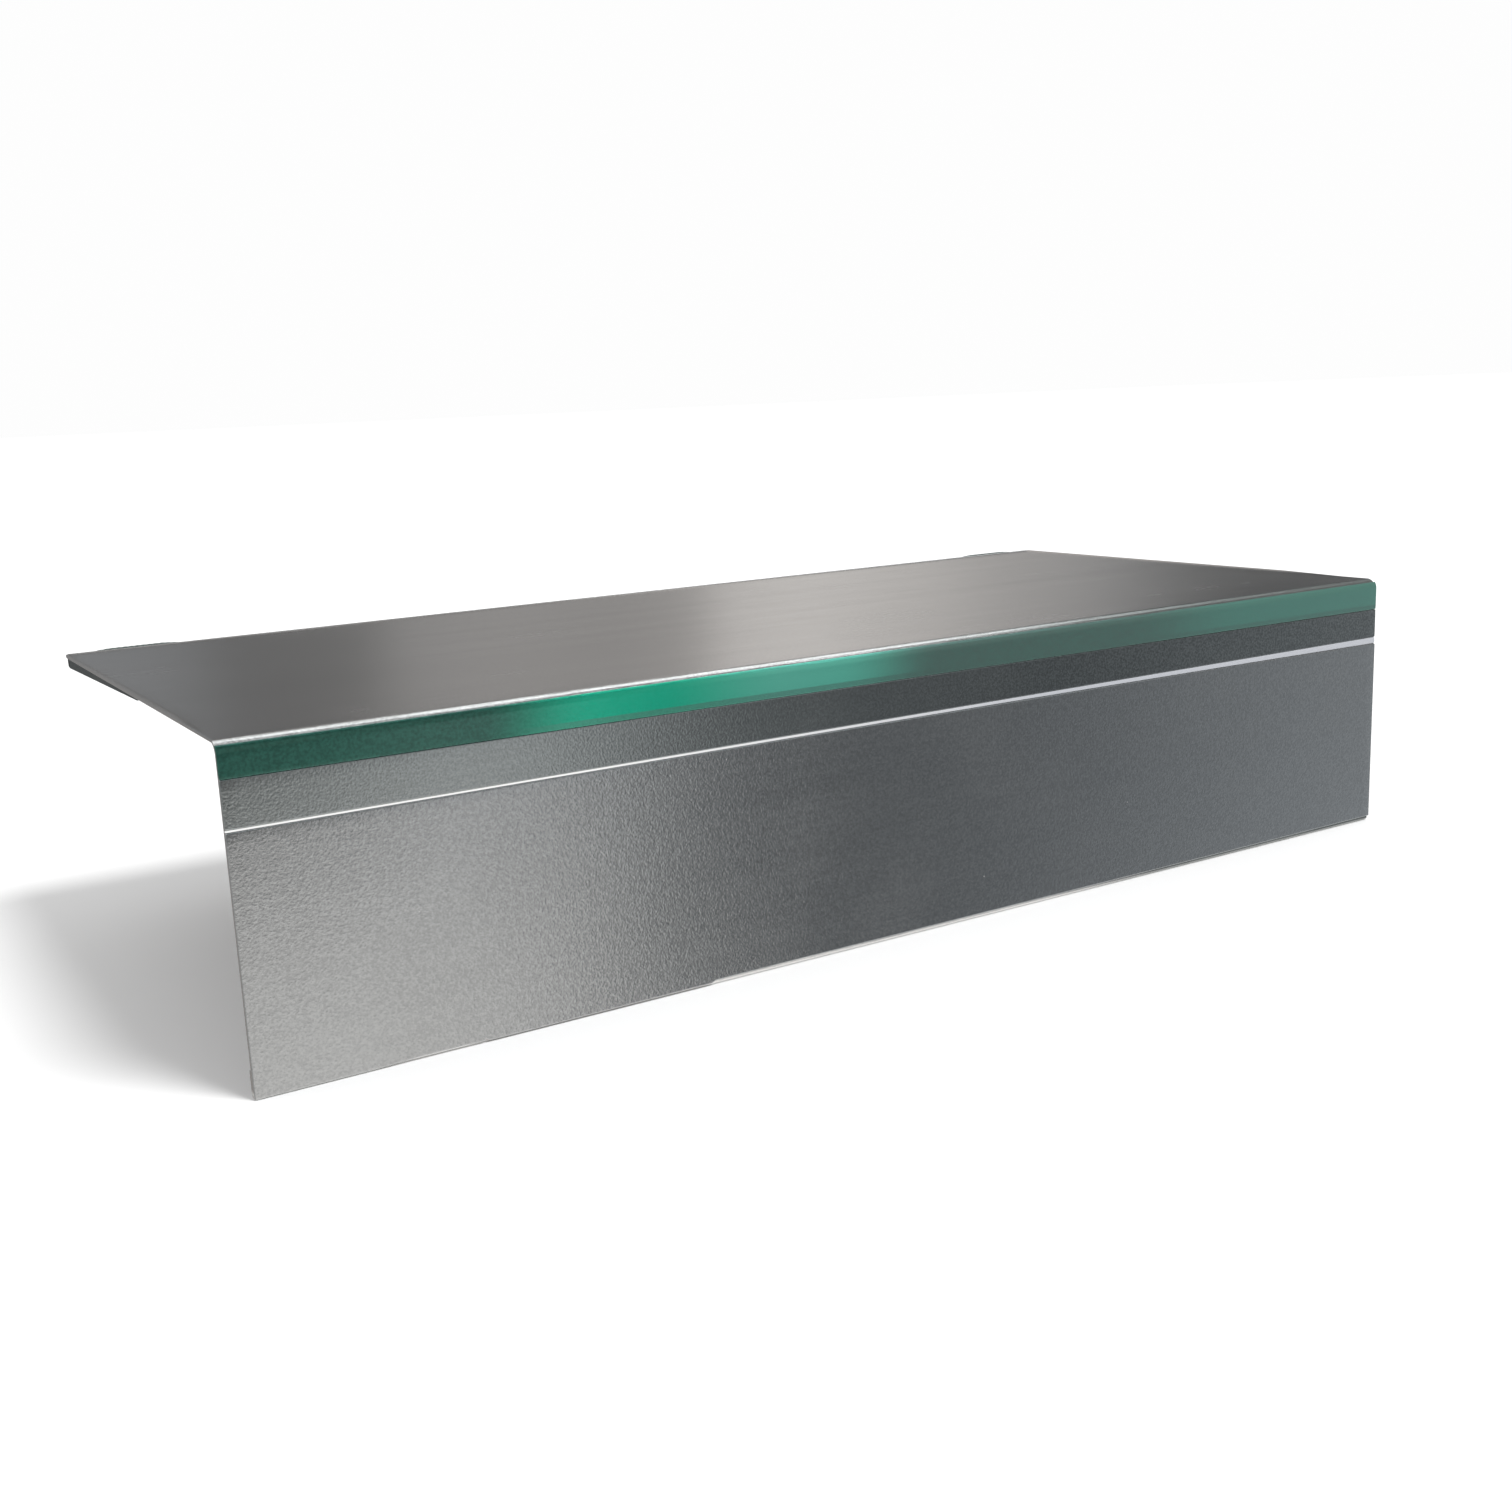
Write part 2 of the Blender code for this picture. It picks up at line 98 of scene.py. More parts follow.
def length(name, description, millimetres):
    """A length that a user may change, in metres."""
    return FloatProperty(name=name, description=description, default=millimetres * MM, unit="LENGTH", precision=5)


def colour(name, description, value):
    """A linear colour."""
    return FloatVectorProperty(name=name, description=description, default=value, min=0, max=1, subtype="COLOR")


class SheetSizes(bpy.types.PropertyGroup):
    """Sizes of the folded sheet and of the bands on its front"""

    sheet: length("Sheet thickness", "Thickness of the folded sheet", 1.2)
    nose: length("Nose radius", "Outer radius of the fold along the front edge", 5)
    hem_gap: length("Hem gap", "Space inside the hem along the foot", 0.6)
    hem_return: length("Hem return", "How far the hem comes back up behind the apron", 9)
    corner: length("Corner radius", "How far the corners of the sheet are rounded in plan", 2.2)
    ripple: length("Ripple", "How far the thin sheet strays from flat", 0.05)
    strip_corner: length("Strip corner radius", "How far the corners of the bands are rounded", 0.7)
    bow: length("Bow", "How far the bright line is narrowed at the middle of the shelf", 0.75)
    # The width of a greyer stripe of colour along the foot of the green strip.
    grey_foot_width: length("Thin edge", "Width of the thinner lacquer along the foot of the green strip", 2.4)
    lip: length("Lip", "How much thicker the rolled edges of the top are", 0.9)
    lip_width: length("Lip width", "How wide the rolled edge is", 3.2)


class FixingSizes(bpy.types.PropertyGroup):
    """Sizes of the screws, knobs, welds and caps"""

    pitch: length("Thread pitch", "Distance between two turns of a thread", 1.0)
    thread_depth: length("Thread depth", "Depth of a thread's groove", 0.45)
    flutes: IntProperty(name="Knob flutes", description="Grooves round a lock screw's knob", default=24, min=6)
    flute_depth: length("Flute depth", "Depth of a groove on the knob", 0.5)
    socket: length("Socket radius", "Radius across the corners of a wall screw's hexagon socket", 2.3)
    weld: length("Weld radius", "Radius of a weld bead", 1.7)
    weld_ripple: length("Weld ripple", "Distance between two ripples of a weld bead", 1.3)
    spot: length("Spot weld radius", "Radius of a spot weld", 2.4)
    edge: length("Edge radius", "How far the edges of the steel parts are eased", 0.4)


class ShelfColours(bpy.types.PropertyGroup):
    """Colours of the finishes"""

    satin: colour("Satin steel", "The folded sheet", (0.50, 0.485, 0.475))
    grained: colour("Grained steel", "The lower face panel", (0.50, 0.515, 0.52))
    dark: colour("Dark steel", "The dark band", (0.40, 0.43, 0.43))
    bright: colour("Bright steel", "The thin bright line", (0.46, 0.475, 0.51))
    green: colour("Green lacquer", "The strip along the nose", (0.008, 0.52, 0.32))
    # The deep, pale and thin greens below are painted shade, a painted pale sheen and a greyer painted shade along
    # the green strip, not thicknesses of lacquer.
    green_shaded: colour("Deep green", "Where the lacquer lies thickest", (0.024, 0.105, 0.08))
    green_sheen: colour("Pale green", "Where the lacquer turns bluish", (0.16, 0.66, 0.51))
    green_grey_shade: colour("Thin green", "Where the lacquer lies thinnest", (0.13, 0.22, 0.195))
    bracket: colour("Bracket paint", "The powder coat of the bracket", (0.030, 0.040, 0.040))
    zinc: colour("Zinc", "The plated parts", (0.66, 0.67, 0.67))
    plastic: colour("Black plastic", "The caps of the arms", (0.012, 0.012, 0.013))
    rubber: colour("Rubber", "The buffers against the wall", (0.05, 0.065, 0.06))
    dust: colour("Dust", "Dust and fine fibres", (0.62, 0.61, 0.58))


class StageSettings(bpy.types.PropertyGroup):
    """The floor, the light and the camera"""

    floor: colour("Floor", "The plain floor", (0.9, 0.9, 0.9))
    key: FloatProperty(
        name="Key light", description="Strength of the soft light from the front and right", default=2.3, min=0
    )
    softness: FloatProperty(
        name="Softness", description="Angle that the soft light fills", default=radians(20), subtype="ANGLE"
    )
    fill: FloatProperty(name="Room light", description="Level of the even light in the room", default=0.78, min=0)
    camera_place: FloatVectorProperty(
        name="Camera",
        description="Where the camera stands",
        default=(-0.4323, -0.8414, 0.1554),
        subtype="TRANSLATION",
    )
    heading: FloatProperty(
        name="Heading", description="Turn to the right of +Y", default=radians(31.6), subtype="ANGLE"
    )
    dip: FloatProperty(name="Dip", description="Slope below the level", default=radians(12.15), subtype="ANGLE")
    roll: FloatProperty(
        name="Roll", description="Turn about the line of sight", default=radians(2.45), subtype="ANGLE"
    )
    lens: FloatProperty(name="Lens", description="Focal length in millimetres on a 36 mm sensor", default=39.42)


class WallShelfSettings(bpy.types.PropertyGroup):
    """Everything a user may change"""

    sheet: PointerProperty(name="Sheet", description="The folded sheet and its bands", type=SheetSizes)
    fixing: PointerProperty(name="Fixings", description="Screws, knobs, welds and caps", type=FixingSizes)
    colours: PointerProperty(name="Colours", description="The finishes", type=ShelfColours)
    stage: PointerProperty(name="Stage", description="Floor, light and camera", type=StageSettings)


def settings():
    return bpy.context.scene.wall_shelf


# --- Surfaces from arrays ------------------------------------------------------------------------------------------

RIM_STEPS = 5
RIM_POWER = 2.6
SMOOTH_ANGLE = radians(38)
# Places from 0 to 1, crowded towards 0: 1 less the cosine of even angles.
CROWDED = 1 - np.cos(np.linspace(0, pi / 2, RIM_STEPS + 1))


def quads(index, wrap_rows=False, wrap_columns=False):
    """Four corners for each cell of a grid of vertex numbers. A wrapped side joins the last line to the first."""
    if wrap_rows:
        index = np.concatenate([index, index[:1]])
    if wrap_columns:
        index = np.concatenate([index, index[:, :1]], axis=1)
    corners = (index[:-1, :-1], index[1:, :-1], index[1:, 1:], index[:-1, 1:])
    return np.stack([corner.ravel() for corner in corners], axis=1)


def enclosed(points, faces):
    """The signed volume inside quads: a sixth of the sum of the triple products of their triangles."""
    corners = points[faces]
    first = np.einsum("ij,ij->i", corners[:, 0], np.cross(corners[:, 1], corners[:, 2]))
    second = np.einsum("ij,ij->i", corners[:, 0], np.cross(corners[:, 2], corners[:, 3]))
    return (first.sum() + second.sum()) / 6


def piece(name, points, faces, finish, body, slot, replaces=(), caps=(), **attributes):
    """An object at the origin whose faces point outwards. caps are rings of vertex numbers, each closed by one face,
    and attributes are values for each point."""
    flipped = enclosed(points - points.mean(axis=0), faces) < 0
    faces = faces[:, ::-1] if flipped else faces
    loops = faces.tolist() + [list(ring[::-1] if flipped else ring) for ring in caps]
    mesh = bpy.data.meshes.new(name)
    mesh.from_pydata(points.tolist(), [], loops)
    mesh.shade_smooth()
    mesh.set_sharp_from_angle(angle=SMOOTH_ANGLE)
    for key, values in attributes.items():
        mesh.attributes.new(key, "FLOAT", "POINT").data.foreach_set("value", values.astype(np.float32))
    made = bpy.data.objects.new(name, mesh)
    bpy.context.scene.collection.objects.link(made)
    made.data.materials.append(finish)
    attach(made, body)
    if replaces:
        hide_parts(*replaces)
    return made


def circle(sides):
    """Even angles round a circle."""
    return np.linspace(0, 2 * pi, sides, endpoint=False)


def rounded_square(turn, power):
    """The radius of a square with rounded corners, 1 at the middle of a side: the cosine and the sine are each raised
    to the power and added, and the radius is 1 over that root of the sum."""
    return (np.abs(np.cos(turn)) ** power + np.abs(np.sin(turn)) ** power) ** (-1 / power)


def rim(distance, soft):
    """How full a sheet is this far from its edge: 0 at the edge and 1 beyond soft, along a superellipse."""
    inside = np.clip(1 - distance / soft, 0, 1)
    return (1 - inside**RIM_POWER) ** (1 / RIM_POWER)


def stations(total, soft, step):
    """Distances from 0 to total: crowded at both ends as the cosine of even angles, about step apart between."""
    near = soft * CROWDED
    between = np.linspace(soft, total - soft, max(2, round((total - 2 * soft) / step)) + 1)
    return np.unique(np.concatenate([near, between, total - near]).round(8))


def corner_share(distance, radius, half):
    """The share of its half length that a row keeps this far from the end, so that the corner is a quarter circle."""
    into = np.clip(radius - distance, 0, radius)
    return 1 - (radius - np.sqrt(np.maximum(radius**2 - into**2, 0))) / half


def closed_sheet(middle_grid, normal, half, fullness):
    """Both faces of a sheet whose middle surface is a grid: each point moved out and in by half times the fullness.
    The fullness is 0 all round the rim, where both faces share their points. half is one number, or one for each
    point. Returns points and quads."""
    rows, columns = middle_grid.shape[:2]
    offset = normal * (half * fullness)[..., None]
    outer, inner = middle_grid + offset, (middle_grid - offset)[1:-1, 1:-1]
    points = np.concatenate([outer.reshape(-1, 3), inner.reshape(-1, 3)])
    front = np.arange(rows * columns).reshape(rows, columns)
    back = front.copy()
    back[1:-1, 1:-1] = rows * columns + np.arange((rows - 2) * (columns - 2)).reshape(rows - 2, columns - 2)
    return points, np.concatenate([quads(front), quads(back)[:, ::-1]])


def bent_path(start, heading, runs, step, marks):
    """A sheet's centreline as straight runs and bends, each (length, turn). Along a run the heading changes evenly,
    so a point is the run's start plus a chord: its length along times sinc of half the turn so far, at the mean
    heading. Returns the distances, the points, and the normals on the right-hand side."""
    lengths, turns = np.array(runs, float).T
    breaks = np.concatenate([[0], np.cumsum(lengths)])
    headings = heading + np.concatenate([[0], np.cumsum(turns)])
    bend = radians(6)
    counts = [max(1, round(abs(t) / bend) if t else round(n / step)) for n, t in runs]
    even = [np.linspace(a, b, n + 1) for a, b, n in zip(breaks[:-1], breaks[1:], counts)]
    s = np.unique(np.concatenate([*even, marks, breaks[-1] - marks]).round(8))
    run = np.clip(np.searchsorted(breaks, s, side="right") - 1, 0, len(runs) - 1)

    def chord(k, along):
        turn = turns[k] / lengths[k] * along
        reach = along * np.sinc(turn / (2 * pi))
        mean = headings[k] + turn / 2
        return reach[:, None] * np.stack([np.cos(mean), np.sin(mean)], axis=1), headings[k] + turn

    whole = chord(np.arange(len(runs)), lengths)[0]
    starts = np.array(start) + np.concatenate([[[0, 0]], np.cumsum(whole, axis=0)])
    moved, angle = chord(run, s - breaks[run])
    return s, starts[run] + moved, np.stack([np.sin(angle), -np.cos(angle)], axis=1)


def lathe(rings, centre, axis, sides=72):
    """Rings of (radius, height), each turned about the axis through the centre. A radius is a number, or an array
    with one value for each of the angles round the axis."""
    turn = circle(sides)
    radius = np.stack([np.broadcast_to(r, sides) for r, _ in rings])
    height = np.array([h for _, h in rings])[:, None]
    local = np.stack([radius * np.cos(turn), radius * np.sin(turn), height + 0 * turn], axis=2)
    basis = {"x": ((0, 1, 0), (0, 0, 1), (1, 0, 0)), "-y": ((1, 0, 0), (0, 0, 1), (0, -1, 0))}
    basis["z"] = ((1, 0, 0), (0, 1, 0), (0, 0, 1))
    return local @ np.array(basis[axis], float) + np.array(centre)


def ring_piece(name, grid, finish, body, slot, replaces=(), loop=False):
    """A piece from rings of points. A loop's last ring joins its first, and otherwise a face closes each end."""
    rows, columns = grid.shape[:2]
    index = np.arange(rows * columns).reshape(rows, columns)
    faces = quads(index, wrap_rows=loop, wrap_columns=True)
    caps = [] if loop else [index[0][::-1], index[-1]]
    return piece(name, grid.reshape(-1, 3), faces, finish, body, slot, replaces, caps)


def hexagon(sides=72):
    """The radius of a hexagon whose corners are at 1, for each angle: cos 30 over the cosine of the angle left after
    the nearest flat."""
    turn = circle(sides)
    return cos(pi / 6) / np.cos((turn % (pi / 3)) - pi / 6)


def swept(path, radius, sides=14):
    """A round bead along a path: at each point a ring of that radius, square to the path's direction."""
    along = np.gradient(path, axis=0)
    along /= np.linalg.norm(along, axis=1)[:, None]
    spread = np.linalg.svd(path - path.mean(axis=0))[2][2]
    side = np.cross(along, spread)
    side /= np.linalg.norm(side, axis=1)[:, None]
    up = np.cross(side, along)
    turn = circle(sides)
    ring = side[:, None] * np.cos(turn)[None, :, None] + up[:, None] * np.sin(turn)[None, :, None]
    return path[:, None] + ring * radius[:, None, None]


def eased(node, finish, body, width=None, rubbed=None):
    """A copy of a CAD node with its triangles merged and its edges eased by a small bevel, which may have a finish of
    its own. The node stays hidden."""
    work = bmesh.new()
    work.from_mesh(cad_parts[node].data)
    bmesh.ops.remove_doubles(work, verts=work.verts, dist=0.005 * MM)
    bmesh.ops.dissolve_limit(work, angle_limit=radians(1), verts=work.verts, edges=work.edges)
    mesh = bpy.data.meshes.new(f"{node}_eased")
    work.to_mesh(mesh)
    work.free()
    mesh.shade_smooth()
    made = bpy.data.objects.new(f"{node}_eased", mesh)
    bpy.context.scene.collection.objects.link(made)
    made.data.materials.append(finish)
    edge = made.modifiers.new("eased_edges", "BEVEL")
    edge.width = width or settings().fixing.edge
    edge.segments = 3
    edge.limit_method = "ANGLE"
    edge.angle_limit = radians(35)
    edge.harden_normals = True
    if rubbed:
        made.data.materials.append(rubbed)
        edge.material = 1
    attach(made, body)
    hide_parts(node)
    return made


# --- Shader nodes --------------------------------------------------------------------------------------------------


def add(tree, kind, inputs=None, **options):
    """A node of this kind, with its options, and each of its inputs set to a value or linked to a socket."""
    made = tree.nodes.new(kind)
    for name, value in options.items():
        setattr(made, name, value)
    for key, value in (inputs or {}).items():
        if isinstance(value, bpy.types.NodeSocket):
            tree.links.new(value, made.inputs[key])
        else:
            made.inputs[key].default_value = value
    return made


def maths(tree, operation, a, b=0.0, clamp=False):
    return add(tree, "ShaderNodeMath", {0: a, 1: b}, operation=operation, use_clamp=clamp).outputs[0]


def between(tree, value, low, high, to_low=0.0, to_high=1.0):
    """The value's place between low and high, smoothed, on a scale from to_low to to_high."""
    inputs = {"Value": value, "From Min": low, "From Max": high, "To Min": to_low, "To Max": to_high}
    return add(tree, "ShaderNodeMapRange", inputs, interpolation_type="SMOOTHSTEP").outputs["Result"]


def blend(tree, factor, a, b):
    """Colour a where the factor is 0 and b where it is 1."""
    a, b = (value if isinstance(value, bpy.types.NodeSocket) else (*value, 1) for value in (a, b))
    return add(tree, "ShaderNodeMix", {0: factor, 6: a, 7: b}, data_type="RGBA").outputs[2]


def veil(tree, mask, share, below, over):
    """One colour laid over another: none of it where the mask is 0, and this share where the mask is 1."""
    return blend(tree, maths(tree, "MULTIPLY", mask, share), below, over)


def own_place(tree):
    """Object coordinates."""
    return tree.nodes.new("ShaderNodeTexCoord").outputs["Object"]


def own_axes(tree):
    """X, Y and Z in object coordinates."""
    return add(tree, "ShaderNodeSeparateXYZ", {"Vector": own_place(tree)}).outputs


def stretched(tree, scale):
    """Object coordinates, scaled along each axis."""
    return add(tree, "ShaderNodeMapping", {"Vector": own_place(tree), "Scale": scale}).outputs["Vector"]


def noise(tree, vector, scale, detail=2.0, rough=0.5):
    inputs = {"Vector": vector, "Scale": scale, "Detail": detail, "Roughness": rough}
    return add(tree, "ShaderNodeTexNoise", inputs).outputs["Fac"]


def group(name, inputs, outputs, build):
    """A node group with number inputs (name: default) and number outputs, filled once by build and then shared."""
    if name in bpy.data.node_groups:
        return bpy.data.node_groups[name]
    tree = bpy.data.node_groups.new(name, "ShaderNodeTree")
    for key, value in inputs.items():
        tree.interface.new_socket(key, in_out="INPUT", socket_type="NodeSocketFloat").default_value = value
    for key in outputs:
        tree.interface.new_socket(key, in_out="OUTPUT", socket_type="NodeSocketFloat")
    found = build(tree, tree.nodes.new("NodeGroupInput").outputs)
    end = tree.nodes.new("NodeGroupOutput")
    for key, socket in found.items():
        tree.links.new(socket, end.inputs[key])
    return tree


def use(tree, node_group, **inputs):
    """The outputs of a shared group placed in a material."""
    return add(tree, "ShaderNodeGroup", inputs, node_tree=node_group).outputs


def pebble_grain():
    """Fine pebbled grain rolled into a sheet: worn cells about Cell metres across, broken up by noise."""

    def build(tree, given):
        scale = maths(tree, "DIVIDE", 1.0, given["Cell"])
        place = own_place(tree)
        cells = add(tree, "ShaderNodeTexVoronoi", {"Vector": place, "Scale": scale}, feature="SMOOTH_F1")
        rounded = maths(tree, "SUBTRACT", 1.0, cells.outputs["Distance"])
        fine = noise(tree, place, maths(tree, "MULTIPLY", scale, 0.8), 2.5, 0.55)
        height = maths(tree, "ADD", maths(tree, "MULTIPLY", rounded, 0.4), fine)
        fleck = between(tree, fine, 0.35, 0.65)
        return {"Height": height, "Fleck": fleck}

    return group("pebble_grain", {"Cell": 0.0012}, ("Height", "Fleck"), build)


def lengthwise_streaks():
    """Hair-fine streaks along X, left by rolling and wiping: noise stretched many times along X."""

    def build(tree, given):
        place = stretched(tree, (6, 420, 420))
        hair = noise(tree, place, given["Fineness"], 3, 0.6)
        wide = noise(tree, stretched(tree, (2.2, 60, 60)), given["Fineness"], 2, 0.5)
        return {"Hair": hair, "Wide": wide}

    return group("lengthwise_streaks", {"Fineness": 1.0}, ("Hair", "Wide"), build)


def settled_dust():
    """Sparse white specks and a faint film: small dots at the middles of some cells, and a cloudy noise."""

    def build(tree, given):
        place = own_place(tree)
        cells = add(tree, "ShaderNodeTexVoronoi", {"Vector": place, "Scale": given["Density"]})
        size = maths(tree, "MULTIPLY", given["Speck"], given["Density"])
        dot = between(tree, cells.outputs["Distance"], size, maths(tree, "MULTIPLY", size, 0.4))
        split = add(tree, "ShaderNodeSeparateColor", {"Color": cells.outputs["Color"]}).outputs
        chosen = maths(tree, "GREATER_THAN", split["Red"], maths(tree, "SUBTRACT", 1.0, given["Share"]))
        cloud = noise(tree, place, 14, 4, 0.6)
        return {"Specks": maths(tree, "MULTIPLY", dot, chosen), "Film": between(tree, cloud, 0.42, 0.75)}

    inputs = {"Density": 90.0, "Speck": 0.0005, "Share": 0.06}
    return group("settled_dust", inputs, ("Specks", "Film"), build)


def edge_wear():
    """Rubbed edges: where the surface bulges, broken up by noise."""

    def build(tree, given):
        bulge = tree.nodes.new("ShaderNodeNewGeometry").outputs["Pointiness"]
        place = own_place(tree)
        broken = between(tree, noise(tree, place, 260, 4, 0.7), 0.35, 0.7)
        edge = between(tree, bulge, 0.52, 0.6)
        worn = maths(tree, "MULTIPLY", maths(tree, "MULTIPLY", edge, broken), given["Amount"], clamp=True)
        return {"Worn": worn}

    return group("edge_wear", {"Amount": 0.5}, ("Worn",), build)


def zinc_spangle():
    """Crystals of a galvanised sheet: cells that each have their own shade and shine."""

    def build(tree, given):
        place = own_place(tree)
        wander = add(tree, "ShaderNodeTexNoise", {"Vector": place, "Scale": 120.0}).outputs["Color"]
        moved = add(tree, "ShaderNodeVectorMath", {0: wander, "Scale": 0.004}, operation="SCALE").outputs[0]
        shifted = add(tree, "ShaderNodeVectorMath", {0: place, 1: moved}, operation="ADD").outputs[0]
        cells = add(tree, "ShaderNodeTexVoronoi", {"Vector": shifted, "Scale": given["Density"]})
        split = add(tree, "ShaderNodeSeparateColor", {"Color": cells.outputs["Color"]}).outputs
        fine = noise(tree, place, 900, 3, 0.6)
        return {"Shade": split["Red"], "Shine": split["Green"], "Fine": fine}

    return group("zinc_spangle", {"Density": 170.0}, ("Shade", "Shine", "Fine"), build)


def coated_skin():
    """The orange-peel skin of baked powder, and the tiny pale specks in it."""

    def build(tree, given):
        place = own_place(tree)
        peel = noise(tree, place, given["Peel"], 2, 0.45)
        speck = between(tree, noise(tree, place, 3200, 1, 0.5), 0.66, 0.74)
        return {"Height": peel, "Speck": speck}

    return group("coated_skin", {"Peel": 700.0}, ("Height", "Speck"), build)


# --- Finishes ------------------------------------------------------------------------------------------------------


def surface(name, build, **constants):
    """A material with one Principled shader. build returns its varying inputs. Even values are set on its sockets."""
    if name in bpy.data.materials:
        return bpy.data.materials[name]
    made = bpy.data.materials.new(name)
    made.use_nodes = True
    tree = made.node_tree
    shader = tree.nodes["Principled BSDF"]
    for key, value in constants.items():
        shader.inputs[key.replace("_", " ")].default_value = value
    for key, socket in build(tree).items():
        tree.links.new(socket, shader.inputs[key])
    return made


def bump(tree, height, depth, strength=1.0, after=None):
    """A normal from a height of the given depth in metres."""
    inputs = {"Height": height, "Distance": depth, "Strength": strength}
    if after is not None:
        inputs["Normal"] = after
    return add(tree, "ShaderNodeBump", inputs).outputs["Normal"]


def shaded(value, factor):
    """A colour made lighter or darker."""
    return tuple(min(1.0, channel * factor) for channel in value)


def grained_metal(name, shade, grain_depth, cell, rough, speck_share, streak, painted_shade_span=None, extra=None):
    """Metal with a pebbled grain, lengthwise streaks, a dust film and a few specks. The span of painted shade given
    after streak is where along X painted shade begins and ends to darken the metal, and how dark it gets. extra may
    add to the colour and the normal."""
    dust_colour = tuple(settings().colours.dust)

    def build(tree):
        grain = use(tree, pebble_grain(), Cell=cell)
        hair = use(tree, lengthwise_streaks())
        dust = use(tree, settled_dust(), Share=speck_share)
        clean = blend(tree, hair["Wide"], shaded(shade, 1 - streak), shaded(shade, 1 + streak))
        # Painted shade: the metal darkens along X.
        if painted_shade_span:
            start, end, depth = painted_shade_span
            clean = blend(tree, between(tree, own_axes(tree)["X"], start, end), clean, shaded(shade, depth))
        flecked = veil(tree, grain["Fleck"], 0.45, clean, shaded(shade, 1.4))
        filmed = veil(tree, dust["Film"], 0.05, flecked, dust_colour)
        final = veil(tree, dust["Specks"], 0.75, filmed, dust_colour)
        level = maths(tree, "MULTIPLY_ADD", hair["Hair"], 0.08)
        level.node.inputs[2].default_value = rough - 0.04
        filmed_level = maths(tree, "ADD", level, maths(tree, "MULTIPLY", dust["Film"], 0.03))
        first = bump(tree, grain["Height"], grain_depth)
        normal = bump(tree, hair["Hair"], 0.004 * MM, 0.6, first)
        if extra:
            final, normal = extra(tree, final, normal)
        metal = maths(tree, "SUBTRACT", 1.0, dust["Specks"], clamp=True)
        return {"Base Color": final, "Roughness": filmed_level, "Normal": normal, "Metallic": metal}

    return surface(name, build)


def satin_steel():
    """The folded sheet: fine draw lines round its nose, darkened towards the right end by painted shade, and a foot
    painted near white over part of its length, rubbed bare steel brightened as a painted highlight.
    """
    sizes = settings().sheet
    nose_y, foot_z = SHEET_LOW.y + sizes.nose, SHEET_LOW.z

    def extra(tree, colours, normal):
        axes = own_axes(tree)
        x, y, z = (axes[axis] for axis in "XYZ")
        lines = use(tree, lengthwise_streaks(), Fineness=4.5)["Hair"]
        on_nose = between(tree, y, nose_y + 1 * MM, nose_y - 0.5 * MM)
        normal = bump(tree, maths(tree, "MULTIPLY", lines, on_nose), 0.11 * MM, 1.0, normal)
        # Where the foot shows below the bent stretch and left of the dent, it is painted near white: rubbed bare
        # steel brightened as a painted highlight.
        along = maths(tree, "MULTIPLY", between(tree, x, *HIGHLIGHT_STEP), between(tree, x, *HIGHLIGHT_FADE))
        along = maths(tree, "MAXIMUM", along, maths(tree, "LESS_THAN", x, DENT_X))
        rubbed = maths(tree, "MULTIPLY", between(tree, z, foot_z + 3.0 * MM, foot_z + 2.2 * MM), along)
        # Painted shade: the nose is darkened towards the right end.
        nose_shade = maths(tree, "MULTIPLY", on_nose, between(tree, x, *NOSE_PAINTED_SHADE))
        shaded_nose_colours = veil(tree, nose_shade, 0.6, colours, (0.17, 0.21, 0.20))
        return blend(tree, rubbed, shaded_nose_colours, (0.98, 0.97, 0.95)), normal

    shade = tuple(settings().colours.satin)
    looks = {"grain_depth": 0.025 * MM, "cell": 0.8 * MM, "rough": 0.24, "speck_share": 0.08, "streak": 0.12}
    return grained_metal("satin_steel_sheet", shade, **looks, extra=extra)


def grained_steel():
    looks = {"grain_depth": 0.055 * MM, "cell": 0.8 * MM, "rough": 0.18, "speck_share": 0.07, "streak": 0.03}
    return grained_metal("grained_steel_panel", tuple(settings().colours.grained), **looks)


def dark_steel():
    """Dark grained steel, darkened towards the right end by painted shade."""
    shade = tuple(settings().colours.dark)
    looks = {"grain_depth": 0.045 * MM, "cell": 0.8 * MM, "rough": 0.18, "speck_share": 0.04, "streak": 0.03}
    return grained_metal("dark_steel_band", shade, **looks, painted_shade_span=(-0.10, 0.10, 0.62))


def bright_steel():
    """A satin line in its own bluish grey, painted near white towards the left end as a painted highlight."""
    shade = tuple(settings().colours.bright)

    def build(tree):
        hair = use(tree, lengthwise_streaks(), Fineness=2.0)
        # Painted highlight: near white at the left end, fading to the line's own grey towards the right.
        along = between(tree, own_axes(tree)["X"], -0.2, 0.1)
        clear = blend(tree, along, (0.84, 0.84, 0.83), shade)
        colours = veil(tree, hair["Hair"], 0.2, clear, shaded(shade, 0.75))
        rough = between(tree, hair["Hair"], 0.3, 0.7, 0.30, 0.42)
        return {"Base Color": colours, "Roughness": rough, "Normal": bump(tree, hair["Hair"], 0.004 * MM)}

    return surface("bright_steel_line", build, Metallic=0.1)


